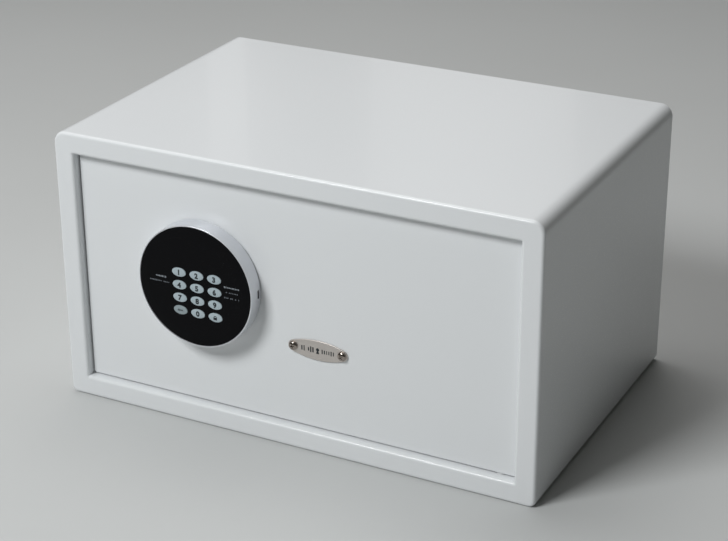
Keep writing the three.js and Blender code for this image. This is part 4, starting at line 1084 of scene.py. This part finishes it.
for name, centre in key_centres.items():
    label = name[len("key_"):]
    if label == "clear":
        mark = new_object("mark_clear", mark_shape([ARROW], centre, crown_y))
    elif label == "enter":
        mark = new_object("mark_enter", mark_shape([LOCK_BODY, SHACKLE], centre, crown_y))
    else:
        mark = digit("mark_" + label, label, centre)
    piece(mark, "button_" + label, GREY_INK if label == "clear" else DARK_INK)
print("made", sum(name.startswith("mark_") for name in made_pieces), "key marks")

# %% [markdown]
# ## Rows of print
# On each side of the keys the face has a few lines of small pale print. Here it
# is only a texture of strokes that spells nothing. A Geometry Nodes tree makes
# one line: points in a row, a small block on each, random widths and heights
# from a fixed seed, and some left out as word spaces.

# %% A tree that makes a line of strokes
def new_nodes(name, inputs):
    """A Geometry Nodes graph. Its inputs are (label, socket kind)."""
    group = bpy.data.node_groups.new(name, "GeometryNodeTree")
    group.interface.new_socket("Geometry", in_out="INPUT", socket_type="NodeSocketGeometry")
    for label, kind in inputs:
        group.interface.new_socket(label, in_out="INPUT", socket_type="NodeSocket" + kind)
    group.interface.new_socket("Geometry", in_out="OUTPUT", socket_type="NodeSocketGeometry")
    graph = Graph(group)
    entry = group.nodes.new("NodeGroupInput")
    graph.given = {socket.name: Wire(graph, socket) for socket in entry.outputs if socket.name}
    return graph


def end_nodes(graph, geometry):
    real = graph.node("GeometryNodeRealizeInstances", None, {"Geometry": geometry})
    done = graph.node("GeometryNodeSetMaterial", None, {
        "Geometry": real, "Material": graph.given["Finish"],
    })
    exit_node = graph.tree.nodes.new("NodeGroupOutput")
    graph.tree.links.new(done.socket, exit_node.inputs[0])
    return graph


def one_object(graph, label):
    """The shape of the object that is given to the tree under this label."""
    return graph.node("GeometryNodeObjectInfo", {"transform_space": "ORIGINAL"}, {
        "Object": graph.given[label],
    }, "Geometry")


def grow(name, shape, graph, values):
    """The mesh that the graph makes. Inputs are set by identifier before it runs."""
    thing = new_object(name, shape)
    pattern = thing.modifiers.new("pattern", "NODES")
    pattern.node_group = graph.tree
    for item in graph.tree.interface.items_tree:
        if item.in_out == "INPUT" and item.name in values:
            pattern[item.identifier] = values[item.name]
    return settle(thing)


STROKE_WIDTHS = (0.35, 0.8)    # as shares of the pitch
STROKE_HEIGHTS = (0.55, 1.0)   # as shares of the tallest
STROKES_KEPT = 0.86            # the rest are word spaces


def stroke_nodes():
    graph = new_nodes("line of strokes", [
        ("Count", "Int"), ("Pitch", "Float"), ("Start", "Vector"), ("Tallest", "Float"),
        ("Depth", "Float"), ("Seed", "Int"), ("Finish", "Material"),
    ])
    given = graph.given
    step = graph.node("ShaderNodeCombineXYZ", None, {"X": given["Pitch"]})
    row = graph.node("GeometryNodeMeshLine", {"mode": "OFFSET"}, {
        "Count": given["Count"], "Start Location": given["Start"], "Offset": step,
    })
    random_width = graph.random(*STROKE_WIDTHS, given["Seed"])
    random_height = graph.random(*STROKE_HEIGHTS, given["Seed"] + 1)
    kept = graph.node("FunctionNodeRandomValue", {"data_type": "BOOLEAN"}, {
        6: STROKES_KEPT, 8: given["Seed"] + 2,
    }, 3)
    size = graph.node("ShaderNodeCombineXYZ", None, {
        "X": random_width * given["Pitch"], "Y": given["Depth"],
        "Z": random_height * given["Tallest"],
    })
    block = graph.node("GeometryNodeMeshCube", None, {"Size": (1, 1, 1)})
    strokes = graph.node("GeometryNodeInstanceOnPoints", None, {
        "Points": row, "Selection": kept, "Instance": block, "Scale": size,
    })
    return end_nodes(graph, strokes)


STROKES = stroke_nodes()
print("stroke tree has", len(STROKES.tree.nodes), "nodes")

# %% Lines of print
PRINT_PITCH = 1.5 * MM
PRINT_DEPTH = 0.10 * MM
# name, x and z in mm from the keypad's middle, strokes, tallest in mm, ink
PRINT_LINES = [
    ("print_left_1", -32.5, 3.7, 10, 1.8, PALE_INK),
    ("print_left_2", -35.0, -0.9, 13, 1.4, DIM_INK),
    ("print_right_1", 36.7, 6.2, 11, 1.8, PALE_INK),
    ("print_right_2", 35.4, 1.6, 9, 1.4, DIM_INK),
    ("print_right_3", 37.4, -3.4, 12, 1.4, DIM_INK),
]
SEED_STEP = 10


def stroke_line(name, x, y, z, count, pitch, tallest, seed, ink):
    """One line, centred on x, whose back is let into the surface at y."""
    line = grow(name, bmesh.new(), STROKES, {
        "Count": count, "Pitch": pitch, "Start": (x - (count - 1) * pitch / 2, y, z),
        "Tallest": tallest, "Depth": PRINT_DEPTH, "Seed": seed, "Finish": ink,
    })
    return piece(line, "door", ink)


for seed, (name, x, z, count, tallest, ink) in enumerate(PRINT_LINES):
    stroke_line(
        name, dial.x + x * MM, face_y + PRINT_DEPTH / 3, dial.z + z * MM,
        count, PRINT_PITCH, tallest * MM, SEED_STEP * seed, ink,
    )
print("made", len(PRINT_LINES), "lines of print")

# %% [markdown]
# ## The oval plate
# A small brushed plate hides the emergency lock. Its outline is two wide arcs
# that run into two small end arcs. Where a maker would put its name, this one
# has a plain keyhole sign between two rows of meaningless strokes.

# %% Oval plate
PLATE_HALF = (28 * MM, 9 * MM)
PLATE_END = 5.2 * MM
PLATE_EDGE = 0.35 * MM
PLATE_SEED = 71
PLATE_STROKES = (6, 2.1 * MM, 5.4 * MM)  # how many, their pitch, the tallest
PLATE_STROKES_OUT = 9.6 * MM


def lens(inset, y, steps=18):
    """The plate's outline, moved inwards by inset."""
    half_length, half_height, end = PLATE_HALF[0] - inset, PLATE_HALF[1] - inset, PLATE_END - inset
    end_x, rise = half_length - end, half_height - end
    drop = (end_x ** 2 - rise ** 2) / (2 * rise)
    turn = math.degrees(math.atan2(drop, end_x))
    wide = drop + half_height
    line = arc(end_x, 0, end, -turn, turn, steps)[:-1]
    line += arc(0, -drop, wide, turn, 180 - turn, steps)[:-1]
    line += arc(-end_x, 0, end, 180 - turn, 180 + turn, steps)[:-1]
    line += arc(0, drop, wide, 180 + turn, 360 - turn, steps)[:-1]
    return [(badge.x + x, y, badge.z + z) for x, z in line]


plate_section = eased([
    (1.6 * MM, badge_low.y, 0), (0, badge_low.y, PLATE_EDGE),
    (0, badge_high.y, 0.15 * MM), (1 * MM, badge_high.y, 0),
], steps=4)
plate_rings = [lens(*point) for point in plate_section]
plate = new_object("oval_plate", loft(plate_rings, start=True, end=True))
through_plate = (badge_low.y - SHEET, badge_high.y + SHEET)
cut(plate, *[
    rod("Y", SCREW_HOLE, *through_plate, (x, badge.z), HOLE_SIDES) for x in plate_screw_xs
])
piece(plate, "door", BRUSHED_STEEL, ("badge_plate",))

keyhole = arc(0, 0.9, 1.5, -60, 240, 18) + [(-1.5, -2.9), (1.5, -2.9)]
sign = new_object("plate_sign", mark_shape([keyhole], badge, badge_low.y))
piece(sign, "door", DARK_INK)
for side, name in ((-1, "plate_strokes_left"), (1, "plate_strokes_right")):
    stroke_line(
        name, badge.x + side * PLATE_STROKES_OUT, badge_low.y + PRINT_DEPTH / 3, badge.z,
        *PLATE_STROKES, PLATE_SEED + side, DARK_INK,
    )
print("oval_plate:", made_pieces["oval_plate"], "triangles")

# %% [markdown]
# ## Dome screws
# Seven screws with domed heads show: two on the oval plate and five on the
# lock's cover. They are one screw, made once and repeated. A Geometry Nodes
# tree puts it on each point, turns it to face outwards, and gives each its own
# turn about its axis, because nobody tightens all screws to the same angle.

# %% One screw, and a tree that repeats it
HEAD_RADIUS = 4 * MM
HEAD_HEIGHT = 2.4 * MM
HEAD_SKIRT = 0.4 * MM
RECESS_ARM = (1.9 * MM, 0.42 * MM)
RECESS_DEPTH = 1.3 * MM
DOME_STEPS = 10
DOME_TIP = 0.2 * MM
SCREW_SIDES = 40
FRONT_FACING = (0.0, 0.0, 0.0)
REAR_FACING = (0.0, 0.0, math.pi)
COVER_SCREWS = tuple(f"cover_screw_{number}" for number in range(1, 5))


def dome_screw(shank_radius, shank_length):
    """A screw whose head faces the front and whose seat is at y = 0."""
    profile = []
    for step in range(1, DOME_STEPS + 1):
        angle = math.pi / 2 * (1 - step / DOME_STEPS)
        profile.append((
            max(HEAD_RADIUS * math.cos(angle), DOME_TIP),
            -HEAD_SKIRT - (HEAD_HEIGHT - HEAD_SKIRT) * math.sin(angle),
        ))
    profile += [(HEAD_RADIUS, 0), (shank_radius, 0), (shank_radius, shank_length)]
    shape = turned(profile, SCREW_SIDES, closed=False, start=True, end=True)
    screw = new_object("screw", shape)
    long, short = RECESS_ARM
    for across, along in ((long, short), (short, long)):
        arm = [(-across, -along), (across, -along), (across, along), (-across, along)]
        cut(screw, prism(arm, -2 * HEAD_HEIGHT, -HEAD_HEIGHT + RECESS_DEPTH))
    smooth(screw.data)
    return screw


def screw_nodes():
    graph = new_nodes("screws on points", [
        ("Screw", "Object"), ("Facing", "Vector"), ("Seed", "Int"), ("Finish", "Material"),
    ])
    given = graph.given
    placed = graph.node("GeometryNodeInstanceOnPoints", None, {
        "Points": given["Geometry"], "Instance": one_object(graph, "Screw"),
        "Rotation": given["Facing"],
    })
    own_turn = graph.random(0.0, math.pi / 2, given["Seed"])
    turn = graph.node("ShaderNodeCombineXYZ", None, {"Y": own_turn})
    turned_screws = graph.node("GeometryNodeRotateInstances", None, {
        "Instances": placed, "Rotation": turn,
    })
    return end_nodes(graph, turned_screws)


SCREWS = screw_nodes()


def screw_row(name, nodes, shank_radius, facing, seed, metal):
    """Screws in the places of these CAD screws, which they stand for."""
    low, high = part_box(nodes[0])
    one = dome_screw(shank_radius, (high.y - low.y) - HEAD_HEIGHT)
    points = bmesh.new()
    for node in nodes:
        low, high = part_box(node)
        seat = low.y + HEAD_HEIGHT if facing == FRONT_FACING else high.y - HEAD_HEIGHT
        points.verts.new(((low.x + high.x) / 2, seat, (low.z + high.z) / 2))
    row = grow(name, points, SCREWS, {
        "Screw": one, "Facing": facing, "Seed": seed, "Finish": metal,
    })
    bpy.data.objects.remove(one)
    return piece(row, "door", metal, nodes)


plate_screws = ("badge_screw_left", "badge_screw_right")
# The plate's screws get the nickel whose colour holds a painted dark reflection.
screw_row("plate_screws", plate_screws, 1.5 * MM, FRONT_FACING, 3, NICKEL_PAINTED_REFLECTION)
screw_row("cover_screws", COVER_SCREWS, 2 * MM, REAR_FACING, 5, BRIGHT_STEEL)
screw_row("lid_screws", ("lid_screw",), 1.5 * MM, REAR_FACING, 9, BRIGHT_STEEL)
print("rows of screws:", [name for name in made_pieces if name.endswith("_screws")])

# %% [markdown]
# ## The lock's cover
# Behind the door a cover of 1.5 mm sheet closes in the bolts, motor, board and
# batteries. It is bent from one piece, so its edges are rounded and its face is
# flat. It is a run of rounded outlines that closes at the rear, thickened
# inwards, and then pierced for the bolts, the battery hatch and the screws.

# %% Lock cover
COVER_SHEET = 1.5 * MM
COVER_BEND = 2.4 * MM
COVER_CORNER = 3.2 * MM
COVER_LEAST_CORNER = 0.3 * MM
COVER_FLAT = 8 * MM
HATCH_CORNER = 2 * MM
LID_LAP = 3 * MM
LID_TAB = 9 * MM
BOLT_HOLE = 8.6 * MM
COVER_SCREW_HOLE = 2.3 * MM

cover_low, cover_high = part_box("lock_cover")
lid_low, lid_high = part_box("battery_lid")
cover_rings = []
cover_side = [(0, cover_low.y, 0), (0, cover_high.y, COVER_BEND), (COVER_FLAT, cover_high.y, 0)]
for inset, y in eased(cover_side, steps=6):
    corner = max(COVER_CORNER - inset, COVER_LEAST_CORNER)
    cover_rings.append(upright(eased(rectangle(
        cover_low.x + inset, cover_high.x - inset,
        cover_low.z + inset, cover_high.z - inset, corner,
    ), steps=6), y))
cover = thicken(new_object("lock_housing", loft(cover_rings, end=True)), COVER_SHEET)

bolt_hole_ends = (cover_low.x - SHEET, cover_low.x + 2 * COVER_SHEET)
for name in ("bolt_upper", "bolt_lower"):
    cut(cover, rod("X", BOLT_HOLE, *bolt_hole_ends, middle_in(name, (1, 2))))
through_cover = (cover_high.y - 2 * SHEET, lid_high.y + SHEET)
hatch = rectangle(
    lid_low.x + LID_LAP, lid_high.x - LID_LAP,
    lid_low.z + LID_LAP, lid_high.z - LID_LAP - LID_TAB, HATCH_CORNER,
)
cut(cover, prism(eased(hatch), *through_cover))
screw_holes = {**dict.fromkeys(COVER_SCREWS, COVER_SCREW_HOLE), "lid_screw": SCREW_HOLE}
for node, radius in screw_holes.items():
    cut(cover, rod("Y", radius, *through_cover, middle_in(node, (0, 2)), HOLE_SIDES))
piece(cover, "door", LACQUER, ("lock_cover",))
print("lock_housing:", made_pieces["lock_housing"], "triangles")

# %% [markdown]
# ## The battery lid
# The lid is a moulded plate with a screw tab at the top and a rib behind it
# that drops into the hatch. Seven grip ribs cross its face. Joining rounded
# slabs gives the plate, and a Geometry Nodes tree lays out the ribs.

# %% Battery lid
LID_SHEET = 2 * MM
TAB_HALF = 6 * MM
RIB_COUNT = 7
RIB_PITCH = 3.4 * MM
RIB_SIZE = (34 * MM, 1.3 * MM, 0.7 * MM)
FIRST_RIB_UP = 10 * MM
TAB_OVERLAP = 4 * MM
PLUG_OVERLAP = 1 * MM
LID_ROUNDING = (0.5 * MM, 2.5 * MM)     # of the edge, and of the corners
TAB_ROUNDING = (0.5 * MM, 3 * MM)
PLUG_ROUNDING = (0.3 * MM, 1.6 * MM)
RIB_ROUNDING = (0.25 * MM, 0.6 * MM)


def slab_at(low, high, edge, corner):
    return rounded_slab(low[0], high[0], low[2], high[2], corner, corner, low[1], high[1], edge, 5)


def weld(thing, *shapes):
    return combine(thing, "UNION", shapes)


lid_x = (lid_low.x + lid_high.x) / 2
lid_front = lid_high.y - LID_SHEET
plate_top = lid_high.z - LID_TAB
plug_in = LID_LAP + WELD_GAP
lid = new_object("battery_hatch", slab_at(
    (lid_low.x, lid_front, lid_low.z), (lid_high.x, lid_high.y, plate_top), *LID_ROUNDING,
))
weld(
    lid,
    slab_at(
        (lid_x - TAB_HALF, lid_front, plate_top - TAB_OVERLAP),
        (lid_x + TAB_HALF, lid_high.y, lid_high.z), *TAB_ROUNDING,
    ),
    slab_at(
        (lid_low.x + plug_in, lid_low.y, lid_low.z + plug_in),
        (lid_high.x - plug_in, lid_front + PLUG_OVERLAP, plate_top - plug_in), *PLUG_ROUNDING,
    ),
)
cut(lid, rod("Y", SCREW_HOLE, *through_cover, middle_in("lid_screw", (0, 2)), HOLE_SIDES))
piece(lid, "door", BLACK_PLASTIC, ("battery_lid",))


def rib_nodes():
    graph = new_nodes("row of ribs", [
        ("Rib", "Object"), ("Count", "Int"), ("Pitch", "Float"), ("Start", "Vector"),
        ("Finish", "Material"),
    ])
    given = graph.given
    step = graph.node("ShaderNodeCombineXYZ", None, {"Z": given["Pitch"]})
    column = graph.node("GeometryNodeMeshLine", {"mode": "OFFSET"}, {
        "Count": given["Count"], "Start Location": given["Start"], "Offset": step,
    })
    ribs = graph.node("GeometryNodeInstanceOnPoints", None, {
        "Points": column, "Instance": one_object(graph, "Rib"),
    })
    return end_nodes(graph, ribs)


half_rib = [side / 2 for side in RIB_SIZE]
one_rib = new_object("rib", slab_at(
    (-half_rib[0], -half_rib[2], -half_rib[1]), (half_rib[0], half_rib[2], half_rib[1]),
    *RIB_ROUNDING,
))
ribs = grow("hatch_ribs", bmesh.new(), rib_nodes(), {
    "Rib": one_rib, "Count": RIB_COUNT, "Pitch": RIB_PITCH,
    "Start": (lid_x, lid_high.y + half_rib[2] / 2, lid_low.z + FIRST_RIB_UP),
    "Finish": BLACK_PLASTIC,
})
bpy.data.objects.remove(one_rib)
piece(ribs, "door", BLACK_PLASTIC)
print("battery_hatch:", made_pieces["battery_hatch"], "triangles;", RIB_COUNT, "ribs")

# %% [markdown]
# ## Bolts
# Two round bolts shoot out behind the frame when the safe locks. A lathe leaves
# a chamfer and a centre mark on the tip, so the profile has both. They ride on
# the bolt carriage, and so they slide.

# %% Bolts
BOLT_RADIUS = 8 * MM
BOLT_CHAMFER = 1.5 * MM
BOLT_LENGTH = 61.7 * MM
SPIGOT_RADIUS = 4 * MM
CENTRE_MARK = (0.3 * MM, 1.0 * MM, 1.6 * MM)  # radius at the bottom, depth, radius at the tip
BOLT_SIDES = 72

for name in ("bolt_upper", "bolt_lower"):
    low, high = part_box(name)
    mark_bottom, mark_depth, mark_top = CENTRE_MARK
    profile = eased([
        (mark_bottom, mark_depth, 0), (mark_top, 0, 0.15 * MM),
        (BOLT_RADIUS - BOLT_CHAMFER, 0, 0.3 * MM), (BOLT_RADIUS, BOLT_CHAMFER, 0.3 * MM),
        (BOLT_RADIUS, BOLT_LENGTH, 0.3 * MM), (SPIGOT_RADIUS, BOLT_LENGTH, 0.1 * MM),
        (SPIGOT_RADIUS, high.x - low.x, 0),
    ], steps=3)
    shape = turned(profile, BOLT_SIDES, closed=False, start=True, end=True)
    place = Matrix.Translation((low.x, *middle_in(name, (1, 2))))
    shape.transform(place @ Matrix.Rotation(-math.pi / 2, 4, "Z"))
    bolt = new_object("round_" + name, shape)
    piece(bolt, "bolt_carriage", BRIGHT_STEEL, (name,))
print("bolts:", made_pieces["round_bolt_upper"], "triangles each")

# %% [markdown]
# ## Softened copies
# Some pieces have the right shape but edges too sharp to be real: the door
# stop, the strike plate, the hinge lugs and the bushes. A CAD node's mesh is
# never touched, so each gets a copy. Its loose triangles are merged, flat areas
# become single faces again, and a Bevel modifier breaks the edges.

# %% Softened copies
MERGE_WITHIN = 0.001 * MM
FLAT_WITHIN = math.radians(0.5)
BEVEL_ABOVE = math.radians(40)


def softened(name, node, edge, body, material):
    shape = bmesh.new()
    shape.from_mesh(frame["nodes"][node].data)
    bmesh.ops.remove_doubles(shape, verts=shape.verts, dist=MERGE_WITHIN)
    bmesh.ops.dissolve_limit(
        shape, angle_limit=FLAT_WITHIN, verts=shape.verts, edges=shape.edges,
        use_dissolve_boundaries=False,
    )
    thing = new_object(name, shape)
    bevel = thing.modifiers.new("broken edges", "BEVEL")
    bevel.width = edge
    bevel.segments = 3
    bevel.limit_method = "ANGLE"
    bevel.angle_limit = BEVEL_ABOVE
    settle(thing)
    return piece(thing, body, material, (node,))


softened("stop_bar", "door_stop", 0.4 * MM, "cabinet", LACQUER)
softened("strike", "strike_plate", 0.3 * MM, "cabinet", ZINC)
for end in ("upper", "lower"):
    softened("lug_" + end, "hinge_lug_" + end, 0.5 * MM, "door", ZINC)
    softened("bush_" + end, "hinge_bush_" + end, 0.2 * MM, "cabinet", WHITE_NYLON)
softened_names = ("stop_bar", "strike", "lug_upper", "bush_upper")
print("softened:", {name: made_pieces[name] for name in softened_names})

# %% [markdown]
# ## The floor mat
# A carpet mat lies loose on the base so that valuables don't scratch it. It is
# cloth. Its top is lumpy at the scale of its needle punches, which a grid of small
# faces moved by noise gives. Two holes leave the floor anchors free.

# %% Floor mat
MAT_STEP = 2.4 * MM
MAT_HOLE = 7 * MM
SNAP_REACH = 0.6 * MAT_STEP
HOLE_KEEP = 0.4 * MAT_STEP
LUMP_SIZE = 5 * MM
LUMP_HEIGHT = 0.35 * MM
EDGE_FRAY = 0.4 * MM

mat_low, mat_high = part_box("floor_mat")
mat_size = mat_high - mat_low


def snapped(x, y):
    """A point near an anchor hole is moved onto its edge."""
    for hole_x in ANCHOR_XS:
        offset = Vector((x - hole_x, y - BASE_ANCHOR_Y))
        if offset.length < MAT_HOLE + SNAP_REACH:
            offset = offset.normalized() * MAT_HOLE
            return hole_x + offset.x, BASE_ANCHOR_Y + offset.y
    return x, y


def inside_hole(x, y):
    distances = [math.hypot(x - hole_x, y - BASE_ANCHOR_Y) for hole_x in ANCHOR_XS]
    return min(distances) < MAT_HOLE - HOLE_KEEP


def mat_shape():
    columns, rows = round(mat_size.x / MAT_STEP), round(mat_size.y / MAT_STEP)
    shape = bmesh.new()
    grid = {}
    for i in range(columns + 1):
        for j in range(rows + 1):
            x = mat_low.x + mat_size.x * i / columns
            y = mat_low.y + mat_size.y * j / rows
            if inside_hole(x, y):
                continue
            if i in (0, columns) or j in (0, rows):
                fray = EDGE_FRAY * (0.5 + 0.5 * noise.noise(Vector((x, y, 0)) / LUMP_SIZE))
                x -= fray * ((i == columns) - (i == 0))
                y -= fray * ((j == rows) - (j == 0))
            x, y = snapped(x, y)
            lump = 0.5 + 0.5 * noise.noise(Vector((x, y, 1)) / LUMP_SIZE)
            grid[i, j] = shape.verts.new((x, y, mat_high.z - LUMP_HEIGHT * lump))
    for i in range(columns):
        for j in range(rows):
            corners = [grid.get(key) for key in ((i, j), (i + 1, j), (i + 1, j + 1), (i, j + 1))]
            if None not in corners:
                shape.faces.new(corners)
    return shape


mat = thicken(new_object("carpet_mat", mat_shape()), mat_size.z - LUMP_HEIGHT)
piece(mat, "cabinet", CARPET, ("floor_mat",))
mat_mm = [round(side / MM) for side in mat_size]
print("carpet_mat:", made_pieces["carpet_mat"], "triangles,", mat_mm, "mm")

# %% [markdown]
# ## Finishes for the working parts
# The CAD nodes that stay as they are lie behind the cover or the plate: motor,
# gearbox, pinion, boards, cells and the key cylinder. Their shape is right, so
# they get only a finish. The record says which finish each has, and a table
# from its names to the materials above does the rest.

# %% Finishes by slot
FINISHES = {
    "white_lacquer": LACQUER, "zinc_steel": ZINC, "bronze": BRONZE, "carpet": CARPET,
    "bright_steel": BRIGHT_STEEL, "badge_steel": BRUSHED_STEEL, "satin_silver": SATIN_SILVER,
    "black_fascia": BLACK_ACRYLIC, "key_plastic": KEY_PLASTIC, "circuit_board": CIRCUIT_BOARD,
    "black_plastic": BLACK_PLASTIC, "brass": BRASS, "cell_sleeve": CELL_SLEEVE,
    "lead_sleeve": LEAD_SLEEVE, "white_nylon": WHITE_NYLON,
}
finished = 0
for subpart in frame["record"]["subparts"]:
    node = frame["nodes"][subpart["node"]]
    for place in node.material_slots:
        place.material = FINISHES[subpart["material_slot"]]
    if not node.hide_render:
        finished += 1
print(finished, "CAD nodes shown with their slot's finish")

# %% [markdown]
# ## Triangles, and the end
# The number of triangles in all the new pieces.

# %% Triangles
print("triangles in new pieces:", sum(made_pieces.values()))
